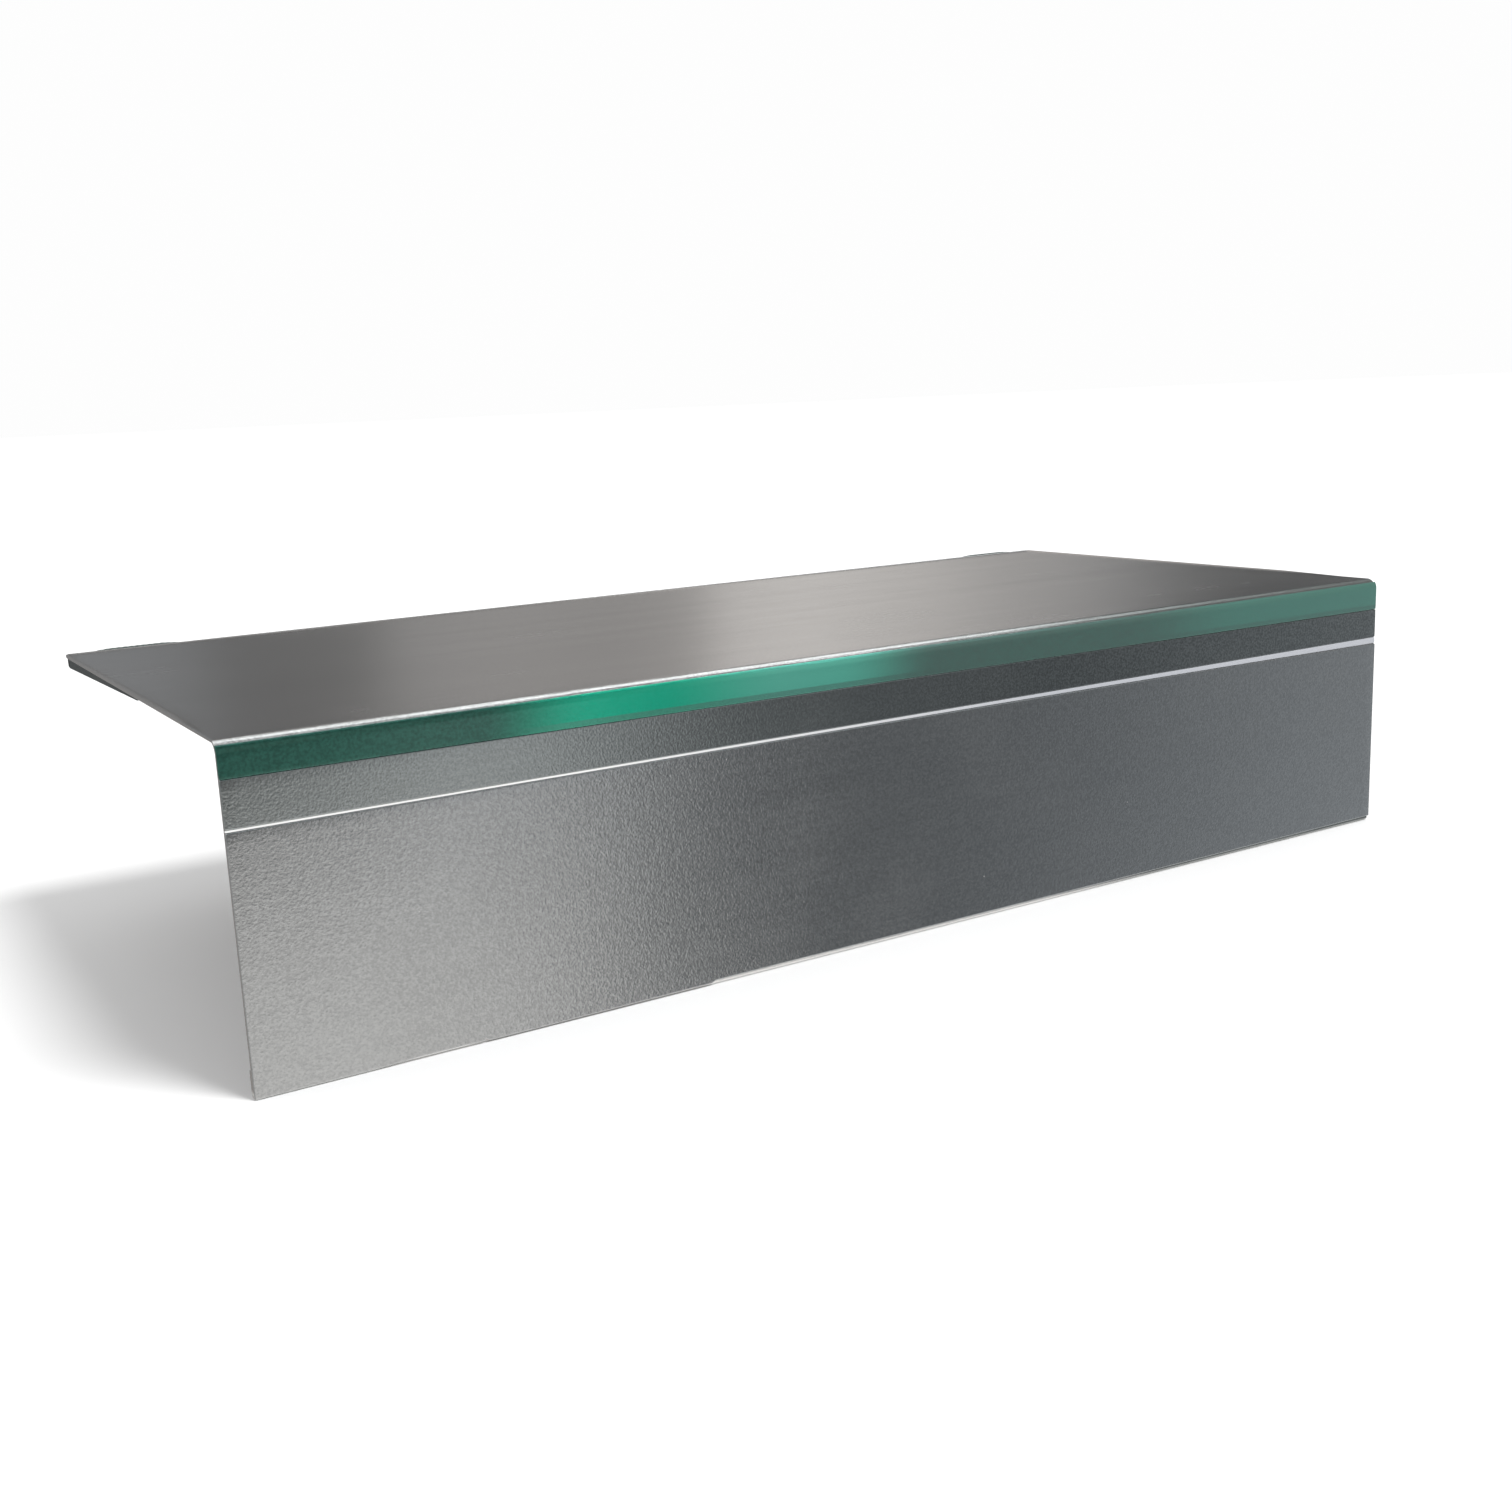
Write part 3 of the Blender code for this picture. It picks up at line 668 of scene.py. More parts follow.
def green_lacquer():
    """Clear green over steel, with painted reflection along X: painted shade deepens it at the left end, it is clear
    green beyond, then a pale painted sheen and a greyer painted shade towards the right, with a greyer stripe along
    its foot and the sheet's grain showing through."""
    colours, grey_foot_width = settings().colours, settings().sheet.grey_foot_width
    # deep, pale and thin are the painted shade, the painted sheen and the greyer painted shade of the green.
    deep, clear = tuple(colours.green_shaded), tuple(colours.green)
    pale, thin = tuple(colours.green_sheen), tuple(colours.green_grey_shade)

    def build(tree):
        along = own_axes(tree)["X"]
        above = add(tree, "ShaderNodeAttribute", attribute_name="above_foot").outputs["Fac"]
        grain = use(tree, pebble_grain(), Cell=0.9 * MM)
        hair = use(tree, lengthwise_streaks(), Fineness=1.6)
        dust = use(tree, settled_dust(), Share=0.05)
        # Painted reflection along X: painted shade at the left end, clear green, a pale painted sheen, a greyer
        # painted shade, and the sheen again.
        cast = blend(tree, between(tree, along, *SHADE_TO_CLEAR), deep, clear)
        cast = blend(tree, between(tree, along, *CLEAR_TO_SHEEN), cast, pale)
        cast = blend(tree, between(tree, along, *SHEEN_TO_GREY), cast, thin)
        cast = blend(tree, between(tree, along, *SHEEN_AGAIN, 0.0, 0.25), cast, pale)
        # A greyer stripe of colour along the foot, over all but the left end.
        edge = between(tree, above, grey_foot_width + 0.3 * MM, grey_foot_width - 0.2 * MM)
        edge = maths(tree, "MULTIPLY", edge, between(tree, along, -0.20, -0.15))
        cast = veil(tree, edge, 0.55, cast, thin)
        flecked = veil(tree, grain["Fleck"], 0.08, cast, pale)
        final = veil(tree, dust["Specks"], 0.6, flecked, tuple(colours.dust))
        rough = between(tree, hair["Wide"], 0.2, 0.8, 0.18, 0.26)
        first = bump(tree, grain["Height"], 0.03 * MM)
        lines = use(tree, lengthwise_streaks(), Fineness=4.5)["Hair"]
        on_nose = between(tree, above, 8 * MM, 12 * MM, 0.03, 1.0)
        normal = bump(tree, maths(tree, "MULTIPLY", lines, on_nose), 0.07 * MM, 1.0, first)
        return {"Base Color": final, "Roughness": rough, "Normal": normal}

    return surface("green_lacquer_strip", build, Metallic=0.75, Coat_Weight=0.8, Coat_Roughness=0.06, Coat_IOR=1.45)


def bracket_paint(rubbed=False):
    """Baked powder with an orange-peel skin. On the rubbed edges it has flaked off the steel in places."""
    shade = tuple(settings().colours.bracket)

    def build(tree):
        skin = use(tree, coated_skin())
        dust = use(tree, settled_dust(), Share=0.05)
        flecked = veil(tree, skin["Speck"], 0.25, shade, shaded(shade, 4))
        final = veil(tree, dust["Film"], 0.03, flecked, tuple(settings().colours.dust))
        found = {"Roughness": between(tree, skin["Height"], 0.3, 0.7, 0.46, 0.58)}
        if rubbed:
            place = own_place(tree)
            bare = between(tree, noise(tree, place, 110, 5, 0.7), 0.58, 0.66)
            final = blend(tree, bare, final, (0.35, 0.35, 0.34))
            found["Metallic"] = bare
        return {"Base Color": final, "Normal": bump(tree, skin["Height"], 0.12 * MM), **found}

    return surface("bracket_rubbed_edge" if rubbed else "bracket_powder_coat", build)


def zinc_plate(name="zinc_sheet", density=170.0, contrast=0.22, rough=0.36, wear=0.0):
    """Galvanised or plated zinc, rubbed on its edges by wear."""
    shade = tuple(settings().colours.zinc)

    def build(tree):
        crystal = use(tree, zinc_spangle(), Density=density)
        dust = use(tree, settled_dust(), Share=0.04)
        base = blend(tree, crystal["Shade"], shaded(shade, 1 - contrast), shaded(shade, 1 + contrast))
        final = veil(tree, dust["Film"], 0.12, base, (0.42, 0.42, 0.40))
        if wear:
            final = blend(tree, use(tree, edge_wear(), Amount=wear)["Worn"], final, (0.82, 0.82, 0.82))
        level = between(tree, crystal["Shine"], 0.0, 1.0, rough - 0.07, rough + 0.08)
        normal = bump(tree, crystal["Fine"], 0.02 * MM)
        return {"Base Color": final, "Roughness": level, "Normal": normal}

    return surface(name, build, Metallic=1.0)


def weld_metal():
    """Bare weld with the brown and blue tints of heat."""

    def build(tree):
        place = own_place(tree)
        tint = noise(tree, place, 320, 3, 0.6)
        base = blend(tree, between(tree, tint, 0.35, 0.65), (0.12, 0.12, 0.13), (0.30, 0.27, 0.24))
        rough = between(tree, tint, 0.3, 0.7, 0.38, 0.55)
        return {"Base Color": base, "Roughness": rough, "Normal": bump(tree, tint, 0.05 * MM)}

    return surface("weld_metal", build, Metallic=0.8)


def black_plastic():
    shade = tuple(settings().colours.plastic)

    def build(tree):
        skin = use(tree, coated_skin(), Peel=1500.0)
        wear = use(tree, edge_wear(), Amount=0.5)
        dust = use(tree, settled_dust(), Share=0.08)
        filmed = veil(tree, dust["Film"], 0.08, shade, tuple(settings().colours.dust))
        final = blend(tree, wear["Worn"], filmed, (0.07, 0.07, 0.07))
        rough = between(tree, skin["Height"], 0.3, 0.7, 0.38, 0.5)
        return {"Base Color": final, "Roughness": rough, "Normal": bump(tree, skin["Height"], 0.05 * MM)}

    return surface("moulded_plastic", build)


def buffer_rubber():
    shade = tuple(settings().colours.rubber)

    def build(tree):
        place = own_place(tree)
        bloom = noise(tree, place, 240, 5, 0.65)
        dust = use(tree, settled_dust(), Share=0.2, Density=400.0, Speck=0.0002)
        base = blend(tree, between(tree, bloom, 0.4, 0.75), shade, shaded(shade, 2.2))
        final = veil(tree, dust["Specks"], 0.5, base, tuple(settings().colours.dust))
        rough = between(tree, bloom, 0.3, 0.7, 0.7, 0.88)
        return {"Base Color": final, "Roughness": rough, "Normal": bump(tree, bloom, 0.06 * MM)}

    return surface("buffer_rubber_compound", build, Sheen_Weight=0.15)


# --- The sheet and its bands ---------------------------------------------------------------------------------------


def ripple(x, z):
    """Very slight waves of a thin sheet: a few sines of unlike lengths, from 0 to 1."""
    waves = np.sin(2 * pi * (x / 0.23 + z / 0.31)) + np.sin(2 * pi * (x / 0.091 - z / 0.17) + 1.3)
    return 0.5 + 0.25 * waves


def carried(values, x):
    """One value for each row of the grid x, the same all along the row."""
    return values[:, None] + 0 * x


def make_shelf_skin():
    """The sheet is a bent path carried along X. Its back corners are quarter circles in plan."""
    sizes = settings().sheet
    half = sizes.sheet / 2
    bend, hem = sizes.nose - half, (sizes.hem_gap + sizes.sheet) / 2
    top_run = SHEET_HIGH.y - (SHEET_LOW.y + half + bend)
    drop_run = (SHEET_HIGH.z - half - bend) - (SHEET_LOW.z + half + hem)
    runs = [(top_run, 0), (bend * pi / 2, pi / 2), (drop_run, 0), (hem * pi, pi), (sizes.hem_return, 0)]
    marks = np.concatenate([half * CROWDED, sizes.corner * CROWDED, sizes.lip_width * CROWDED])
    s, path, normals = bent_path((SHEET_HIGH.y, SHEET_HIGH.z - half), pi, runs, 8 * MM, marks)
    along = stations(2 * HALF_LENGTH, half, 8 * MM)
    lip = sizes.lip_width * CROWDED
    along = np.unique(np.concatenate([along, lip, 2 * HALF_LENGTH - lip]).round(8)) - HALF_LENGTH
    x = along[None, :] * corner_share(s, sizes.corner, HALF_LENGTH)[:, None]
    y, z = (carried(path[:, axis], x) for axis in (0, 1))
    normal = np.stack([0 * x, carried(normals[:, 0], x), carried(normals[:, 1], x)], axis=2)
    middle_grid = np.stack([x, y, z], axis=2) - normal * (ripple(x, y) * sizes.ripple)[..., None]
    from_rim = np.minimum(s[:, None], HALF_LENGTH - np.abs(x))
    turned_up = np.clip(1 - from_rim / sizes.lip_width, 0, 1) ** 2
    flat = np.clip((y - SHEET_LOW.y) / (8 * sizes.nose) - 0.5, 0, 1) * (z > SHEET_HIGH.z - sizes.nose)
    raised = sizes.lip / 2 * turned_up * flat
    middle_grid[..., 2] += raised
    edge = rim(np.minimum(s, s[-1] - s), half)
    side = rim(HALF_LENGTH - np.abs(along), half)
    points, faces = closed_sheet(middle_grid, normal, half + raised, edge[:, None] * side[None, :])
    piece("shelf_skin", points, faces, satin_steel(), "shelf", "satin_steel", ["shelf_sheet"])


def make_green_band():
    """A strip that follows the nose and then the apron. Below the nose each column is stretched to its own foot."""
    sizes = settings().sheet
    low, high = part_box("green_trim_strip")
    half = (SHEET_LOW.y - low.y) / 2
    centre_y, centre_z = SHEET_LOW.y + sizes.nose, SHEET_HIGH.z - sizes.nose
    radius = sizes.nose + half
    first = acos((high.z - centre_z) / (radius + half))
    start = (centre_y - radius * sin(first), centre_z + radius * cos(first))
    (foot_left, _), (foot_right, _) = end_heights("green_trim_strip")
    mean = centre_z - (foot_left + foot_right) / 2
    marks = half * CROWDED
    runs = [(radius * (pi / 2 - first), pi / 2 - first), (mean, 0)]
    s, path, normals = bent_path(start, pi + first, runs, 1.5 * MM, marks)
    along = stations(2 * HALF_LENGTH, half, 6 * MM) - HALF_LENGTH
    share_along = (along[None, :] + HALF_LENGTH) / (2 * HALF_LENGTH)
    left = s[-1] - s
    x = along[None, :] * corner_share(left, sizes.strip_corner, HALF_LENGTH)[:, None]
    foot = foot_left + (foot_right - foot_left) * share_along
    y, z = (carried(path[:, axis], x) for axis in (0, 1))
    below = np.clip((centre_z - z) / mean, 0, 1)
    z = np.where(z < centre_z, centre_z - below * (centre_z - foot), z)
    normal = np.stack([0 * x, carried(normals[:, 0], x), carried(normals[:, 1], x)], axis=2)
    fullness = rim(np.minimum(s, left), half)[:, None] * rim(HALF_LENGTH - np.abs(along), half)[None, :]
    points, faces = closed_sheet(np.stack([x, y, z], axis=2), normal, half, fullness)
    above = z - foot
    above = np.concatenate([above.ravel(), above[1:-1, 1:-1].ravel()])
    finish = green_lacquer()
    piece("green_band", points, faces, finish, "shelf", "green_lacquer", ["green_trim_strip"], above_foot=above)


def bow(part):
    """How far the lower edge of the bright line rises above a straight one: a parabola along the shelf."""
    return settings().sheet.bow * 4 * part * (1 - part)


def face_band(name, node, finish, slot, bowed=(0, 0), damage=None):
    """A flat strip bedded on the apron. Its edges run from end to end, straight or with the bow of the bright line:
    bowed holds 0 or 1 for the lower and for the upper edge. damage gives how far the foot is bent up at each X."""
    sizes = settings().sheet
    outer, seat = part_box(node)[0].y, SHEET_LOW.y
    half = (seat - outer) / 2
    (low_left, high_left), (low_right, high_right) = end_heights(node)
    tall = ((high_left - low_left) + (high_right - low_right)) / 2
    soft = min(half, tall / 3)
    corner = min(sizes.strip_corner, tall / 3)
    rows = stations(tall, soft, 4 * MM)
    rows = np.unique(np.concatenate([rows, corner * CROWDED]).round(8))
    along = stations(2 * HALF_LENGTH, soft, 6 * MM) - HALF_LENGTH
    if damage:
        fine = np.linspace(DENT_X - 3 * DENT, DENT_X + 3 * DENT, 25)
        along = np.unique(np.concatenate([along, fine, np.linspace(*STEP_X, 9)]).round(8))
    part = (along + HALF_LENGTH) / (2 * HALF_LENGTH)
    near = np.minimum(rows, tall - rows)
    x = along[None, :] * corner_share(near, corner, HALF_LENGTH)[:, None]
    low = low_left + (low_right - low_left) * part + bowed[0] * bow(part)
    if damage:
        low = low + damage(along)
    high = high_left + (high_right - high_left) * part + bowed[1] * bow(part)
    z = low[None, :] + (high - low)[None, :] * (rows / tall)[:, None]
    y = outer + half + ripple(x, z) * sizes.ripple
    normal = np.zeros((*x.shape, 3))
    normal[..., 1] = -1
    fullness = rim(near, soft)[:, None] * rim(HALF_LENGTH - np.abs(along), soft)[None, :]
    points, faces = closed_sheet(np.stack([x, y, z], axis=2), normal, half, fullness)
    piece(name, points, faces, finish, "shelf", slot, [node])


def bent_foot(x):
    """A small dent at the end of a worn stretch, and a stretch bent up from a sharp step, which fades out to the
    right."""
    dent = 0.8 * MM * np.exp(-(((x - DENT_X) / DENT) ** 2)) + 0.5 * MM * np.exp(-(((x - WORN_X) / WORN) ** 4))
    rise = np.clip((x - STEP_X[0]) / (STEP_X[1] - STEP_X[0]), 0, 1)
    return dent + 0.9 * MM * rise * np.clip((0.2 - x) / 0.28, 0, 1)


# --- The bracket ---------------------------------------------------------------------------------------------------


def bead(name, path, body):
    """A weld bead: a swept ring whose radius ripples along the way and closes at both ends as a half ellipse."""
    sizes = settings().fixing
    total = np.concatenate([[0], np.cumsum(np.linalg.norm(np.diff(path, axis=0), axis=1))])
    count = max(24, round(total[-1] / (sizes.weld_ripple / 6)))
    s = np.linspace(0, total[-1], count)
    fine = np.stack([np.interp(s, total, path[:, axis]) for axis in range(3)], axis=1)
    near = np.clip(np.minimum(s, total[-1] - s) / (1.5 * sizes.weld), 0.02, 1)
    saw = (s / sizes.weld_ripple) % 1
    radius = sizes.weld * np.sqrt(1 - (1 - near) ** 2) * (1 + 0.10 * (1 - (2 * saw - 1) ** 2))
    ring_piece(name, swept(fine, radius), weld_metal(), body, "bracket_paint")


WELD_INSET = 0.6 * MM
# The beads on a gusset: where each begins and how far it runs, as shares of the gusset's depth, and the two ends of
# the bead down the wall, as shares of its height.
GUSSET_BEADS = (("back", 0.12), ("front", 0.62))
GUSSET_BEAD_RUN = 0.26
WALL_BEAD_ENDS = (0.3, 0.75)


def make_bracket():
    paint, edges = bracket_paint(), bracket_paint(rubbed=True)
    body = "wall_bracket"
    arms = [f"{part}_{side}" for part in ("main_arm", "arm_gusset", "outer_arm") for side in SIDES]
    for node in ["wall_rail", *arms]:
        eased(node, paint, body, rubbed=edges)
    for side in SIDES:
        low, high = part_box(f"main_arm_{side}")
        top, back = high.z - 2 * MM, high.y - WELD_INSET
        sides = [(low.x, top), (low.x, low.z), (high.x, low.z), (high.x, top)]
        bead(f"arm_weld_{side}", np.array([(x, back, z) for x, z in sides]), body)
        low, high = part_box(f"arm_gusset_{side}")
        for face, x in (("inner", low.x), ("outer", high.x)):
            top, back = high.z - WELD_INSET, high.y - WELD_INSET
            for spot, start in GUSSET_BEADS:
                y = back + (low.y - back) * np.array([start, start + GUSSET_BEAD_RUN])
                bead(f"gusset_weld_{spot}_{face}_{side}", np.array([(x, y[0], top), (x, y[1], top)]), body)
            z = high.z + (low.z - high.z) * np.array(WALL_BEAD_ENDS)
            bead(f"gusset_weld_wall_{face}_{side}", np.array([(x, back, z[0]), (x, back, z[1])]), body)
        low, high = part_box(f"outer_arm_{side}")
        y, z = high.y - WELD_INSET, low.z + WELD_INSET
        ends = [(low.x + WELD_INSET, y, z), (high.x - WELD_INSET, y, z)]
        bead(f"outer_arm_weld_{side}", np.array(ends), body)


def make_arm_cap(side):
    """Rounded squares stacked along Y, from the plug's end to the middle of the crowned face."""
    low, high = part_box(f"arm_cap_{side}")
    centre = (low + high) / 2
    half = (high.x - low.x) / 2
    turn = circle(96)
    square = rounded_square(turn, 8)
    plug = half - 1.8 * MM
    shape = [(0.05, 0), (0.9, 0), (1.0, 0.8 * MM), (1.0, 3 * MM)]
    shape += [(0.985, 3.3 * MM), (0.985, 4.2 * MM), (1.0, 4.5 * MM)]
    deep = high.y - low.y
    flange = 2 * MM
    rings = [(square * plug * r, d) for r, d in shape] + [(square * plug, deep - flange)]
    rings += [(square * (half - 0.3 * MM), deep - flange), (square * half, deep - flange + 0.3 * MM)]
    crown = np.linspace(0, pi / 2, 7)
    rings += [(square * (half - (1 - cos(a)) * 1.4 * MM), deep - 1.2 * MM + sin(a) * 0.8 * MM) for a in crown]
    rings += [(square * half * r, deep - 0.4 * MM * r**2) for r in (0.7, 0.4, 0.02)]
    grid = lathe(rings, (centre.x, high.y, centre.z), "-y", 96)
    ring_piece(f"arm_end_cap_{side}", grid, black_plastic(), "wall_bracket", "black_plastic", [f"arm_cap_{side}"])


# --- Sleeves, stiffener and ribs -----------------------------------------------------------------------------------


THIN_SHEET_EDGE = 0.25 * MM


def make_sleeves():
    zinc = zinc_plate()
    nodes = [f"arm_sleeve_{side}" for side in SIDES] + ["front_stiffener"]
    nodes += [f"apron_rib_{place}" for place in ("left", "centre", "right")]
    for node in nodes:
        eased(node, zinc, "shelf", THIN_SHEET_EDGE)


def spot_weld(name, centre, axis, body):
    """A spot weld on a sheet that faces against the axis: a low ring round a shallow dimple."""
    radius = settings().fixing.spot
    shape = ((1, 0.30), (1, -0.02), (0.86, -0.16), (0.70, -0.12), (0.55, -0.02), (0.3, 0.01), (0.03, 0.02))
    grid = lathe([(share * radius, height * MM) for share, height in shape], centre, axis, 28)
    ring_piece(name, grid, weld_metal(), body, "zinc_plate")


# How far the spot welds keep from a sleeve's long edges and ends, and from the stiffener's ends, and how many there
# are in each row.
SPOT_EDGE, SPOT_END, STIFFENER_END = 5 * MM, 15 * MM, 20 * MM
SLEEVE_SPOTS, STIFFENER_SPOTS = 5, 9


def make_spot_welds():
    sheet = settings().sheet.sheet
    for side in SIDES:
        low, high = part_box(f"arm_sleeve_{side}")
        for edge, x in (("outer", low.x + SPOT_EDGE), ("inner", high.x - SPOT_EDGE)):
            for number, y in enumerate(np.linspace(low.y + SPOT_END, high.y - SPOT_END, SLEEVE_SPOTS)):
                place = (x, y, high.z - sheet)
                spot_weld(f"sleeve_spot_{edge}_{number + 1}_{side}", place, "z", "shelf")
    low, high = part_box("front_stiffener")
    for number, x in enumerate(np.linspace(low.x + STIFFENER_END, high.x - STIFFENER_END, STIFFENER_SPOTS)):
        place = (x, low.y + sheet, (low.z + high.z) / 2)
        spot_weld(f"stiffener_spot_{number + 1}", place, "-y", "shelf")


# --- Fixings -------------------------------------------------------------------------------------------------------


def thread(heights, shank, turn):
    """Rings of a thread: the shank's radius less a groove, a triangle wave of the height and the turn together."""
    sizes = settings().fixing
    grooves = [np.abs(((h / sizes.pitch + turn / (2 * pi)) % 1) * 2 - 1) for h in heights]
    return [(shank - sizes.thread_depth * groove, h) for groove, h in zip(grooves, heights)]


def zinc_fixing():
    return zinc_plate("zinc_fixing", density=900.0, contrast=0.10, rough=0.30, wear=0.4)


def make_wall_fixing(number):
    """A washer with rounded rims, and a pan-head screw whose head sinks into a hexagon socket."""
    sizes = settings().fixing
    low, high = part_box(f"wall_washer_{number}")
    centre = (low + high) / 2
    outer, thick = (high.x - low.x) / 2, high.y - low.y
    hole = 3.3 * MM
    turn = circle(24)
    square = rounded_square(turn, 6)
    radii = (outer + hole) / 2 + (outer - hole) / 2 * np.cos(turn) * square
    depths = thick / 2 * np.sin(turn) * square
    grid = lathe(list(zip(radii, depths)), centre, "-y", 64)
    zinc = zinc_fixing()
    ring_piece(f"washer_{number}", grid, zinc, "wall_bracket", "zinc_plate", [f"wall_washer_{number}"], loop=True)

    low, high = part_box(f"wall_screw_{number}")
    head = (high.x - low.x) / 2
    seat = high.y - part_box(f"wall_washer_{number}")[0].y
    total = high.y - low.y
    shank = 3 * MM
    tall = total - seat
    turn = circle(72)
    rings = [(0.2 * MM, 0), (shank - 0.6 * MM, 0)]
    rings += thread(np.linspace(0.4 * MM, seat - 0.2 * MM, 24), shank, turn)
    rings += [(shank, seat), (head - 0.2 * MM, seat), (head, seat + 0.25 * MM), (head, seat + 0.25 * tall)]
    crown = head - sizes.socket * 1.25
    for a in np.linspace(0.1, 1, 7) * pi / 2:
        rings.append((head - crown * (1 - cos(a)), seat + tall * (0.25 + 0.75 * sin(a))))
    flats = hexagon()
    rings += [(flats * sizes.socket * 1.08, total), (flats * sizes.socket, total - 0.25 * MM)]
    rings += [(flats * sizes.socket, total - 2.2 * MM), (0.3 * MM, total - 2.6 * MM)]
    grid = lathe(rings, ((low.x + high.x) / 2, high.y, (low.z + high.z) / 2), "-y")
    ring_piece(f"pan_head_screw_{number}", grid, zinc, "wall_bracket", "zinc_plate", [f"wall_screw_{number}"])


def make_lock(side):
    """A chamfered weld nut, and a thumb screw with a thread, a collar and a fluted knob."""
    sizes = settings().fixing
    low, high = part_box(f"weld_nut_{side}")
    centre = ((low.x + high.x) / 2, (low.y + high.y) / 2, low.z)
    tall = high.z - low.z
    across = max(high.x - low.x, high.y - low.y) / 2
    flats = hexagon() * across
    hole = 3.25 * MM
    chamfer = 0.9 * MM
    land, slope = across * 0.86, 1.6
    rings = [(hole, 0.4 * MM), (hole + 0.4 * MM, 0), (land, 0)]
    rings += [(np.minimum(flats, land + h * slope), h) for h in np.linspace(0.1, 1, 5) * chamfer]
    rings += [(np.minimum(flats, land + (tall - h) * slope), h) for h in tall - np.linspace(1, 0.1, 5) * chamfer]
    rings += [(land, tall), (hole + 0.4 * MM, tall), (hole, tall - 0.4 * MM)]
    zinc = zinc_fixing()
    grid = lathe(rings, centre, "z")
    ring_piece(f"nut_{side}", grid, zinc, "shelf", "zinc_plate", [f"weld_nut_{side}"], loop=True)

    low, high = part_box(f"lock_screw_{side}")
    total = high.z - low.z
    knob, knob_tall, shank = (high.x - low.x) / 2, 8 * MM, 3 * MM
    sides = sizes.flutes * 8
    turn = circle(sides)
    flute = sizes.flute_depth * (0.5 - 0.5 * np.cos(turn * sizes.flutes)) ** 0.7
    wide, deep = 1.6 * MM, 1.2 * MM
    shoulder = []
    for a in np.linspace(0, 1, 6):
        shoulder.append((knob - wide * (1 - sin(a * pi / 2)) - flute * a, deep * (1 - cos(a * pi / 2))))
    rings = [(0.3 * MM, 0.5 * MM), (knob * 0.45, 0.5 * MM), (knob * 0.5, 0.0), (knob - wide, 0.0), *shoulder]
    rings += [(knob - flute, h) for h in np.linspace(wide, knob_tall - wide, 6)]
    rings += [(r, knob_tall - h) for r, h in reversed(shoulder)]
    collar = ((1.5 * MM, 0), (1.2 * MM, 1.2 * MM), (0, 2.4 * MM))
    rings += [(shank + wider, knob_tall + h) for wider, h in collar]
    rings += thread(np.linspace(knob_tall + 2.6 * MM, total - 0.7 * MM, 110), shank, turn)
    rings += [(shank - 0.7 * MM, total), (0.3 * MM, total)]
    grid = lathe(rings, ((low.x + high.x) / 2, (low.y + high.y) / 2, low.z), "z", sides)
    ring_piece(f"thumb_screw_{side}", grid, zinc, f"lock_screw_{side}", "zinc_plate", [f"lock_screw_{side}"])


def make_buffer(side):
    """A rubber block: a rounded square carried along X, full in the middle and rounded at both ends, with ribs."""
    low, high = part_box(f"back_buffer_{side}")
    centre, half = (low + high) / 2, (high - low) / 2
    along = stations(2 * half.x, 0.9 * MM, 0.25 * MM)
    near = np.minimum(along, 2 * half.x - along)
    full = np.maximum(np.sqrt(np.clip(near / (9 * MM), 0, 1)), 0.05)
    rib = 1 - 0.10 * (0.5 + 0.5 * np.cos(2 * pi * along / (2.9 * MM))) * (near > 1.5 * MM)
    turn = circle(32)
    square = rounded_square(turn, 5)
    y = centre.y + half.y * (full * rib)[:, None] * (np.cos(turn) * square)[None, :]
    z = centre.z + half.z * (full * rib)[:, None] * (np.sin(turn) * square)[None, :]
    grid = np.stack([low.x + along[:, None] + 0 * y, y, z], axis=2)
    ring_piece(f"rubber_buffer_{side}", grid, buffer_rubber(), "shelf", "buffer_rubber", [f"back_buffer_{side}"])


# --- The stage -----------------------------------------------------------------------------------------------------


# The room that gloss shows, from its foot up. Each band begins and ends its take-over from the one below at two
# heights in degrees. Its stops are (degrees to the right of the front, level, warmth).
ROOM_BANDS = (
    (None, None, (
        (-180, 0.40, 0.02), (-60, 0.50, 0.02), (-15, 0.95, 0.03), (30, 0.98, 0.03), (41, 0.90, 0.0), (46, 0.5, 0.0),
        (60, 0.5, 0.0), (80, 0.9, 0.0), (150, 0.9, 0.0), (180, 0.7, 0.02),
    )),
    (-31, -24, (
        (-180, 0.38, 0.02), (-60, 0.48, 0.02), (-10, 0.76, 0.03), (24, 0.80, 0.03), (28, 0.22, -0.01),
        (32, 0.11, -0.05), (40, 0.15, -0.05), (48, 0.29, -0.05), (56, 0.44, -0.05), (100, 0.38, 0.0),
        (180, 0.38, 0.02),
    )),
    (-19, -10, (
        (-180, 0.30, 0.0), (-60, 0.38, 0.0), (-15, 0.24, 0.0), (10, 0.12, 0.0), (16, 0.18, 0.0), (21, 0.72, -0.01),
        (24.5, 0.68, -0.01), (27.5, 0.17, -0.03), (34, 0.12, -0.05), (42, 0.17, -0.05), (48, 0.24, -0.05),
        (54, 0.34, -0.05), (70, 0.36, 0.0), (180, 0.30, 0.0),
    )),
    (0, 6, (
        (-180, 0.28, -0.04), (-120, 0.42, 0.0), (-40, 0.34, 0.0), (10, 0.30, 0.03), (50, 0.28, 0.0), (95, 0.42, 0.0),
        (122, 0.20, 0.0), (127, 0.10, -0.03), (131, 0.07, -0.03), (134, 0.15, -0.02), (136, 0.32, 0.0),
        (139, 0.42, 0.02), (143, 0.62, 0.03), (146, 0.74, 0.03), (149, 0.70, 0.03), (150.4, 0.36, 0.03),
        (153, 0.32, 0.02),
        (157, 0.36, 0.02), (160, 0.34, 0.01), (162, 0.16, 0.0), (166, 0.14, -0.01), (168, 0.25, -0.04),
        (172, 0.28, -0.04), (180, 0.28, -0.04),
    )),
    (28, 42, (
        (-180, 0.34, 0.0), (-90, 0.45, 0.0), (-30, 0.26, 0.0), (10, 0.06, 0.0), (50, 0.10, 0.0), (100, 0.35, 0.0),
        (150, 0.34, 0.0), (180, 0.34, 0.0),
    )),
)
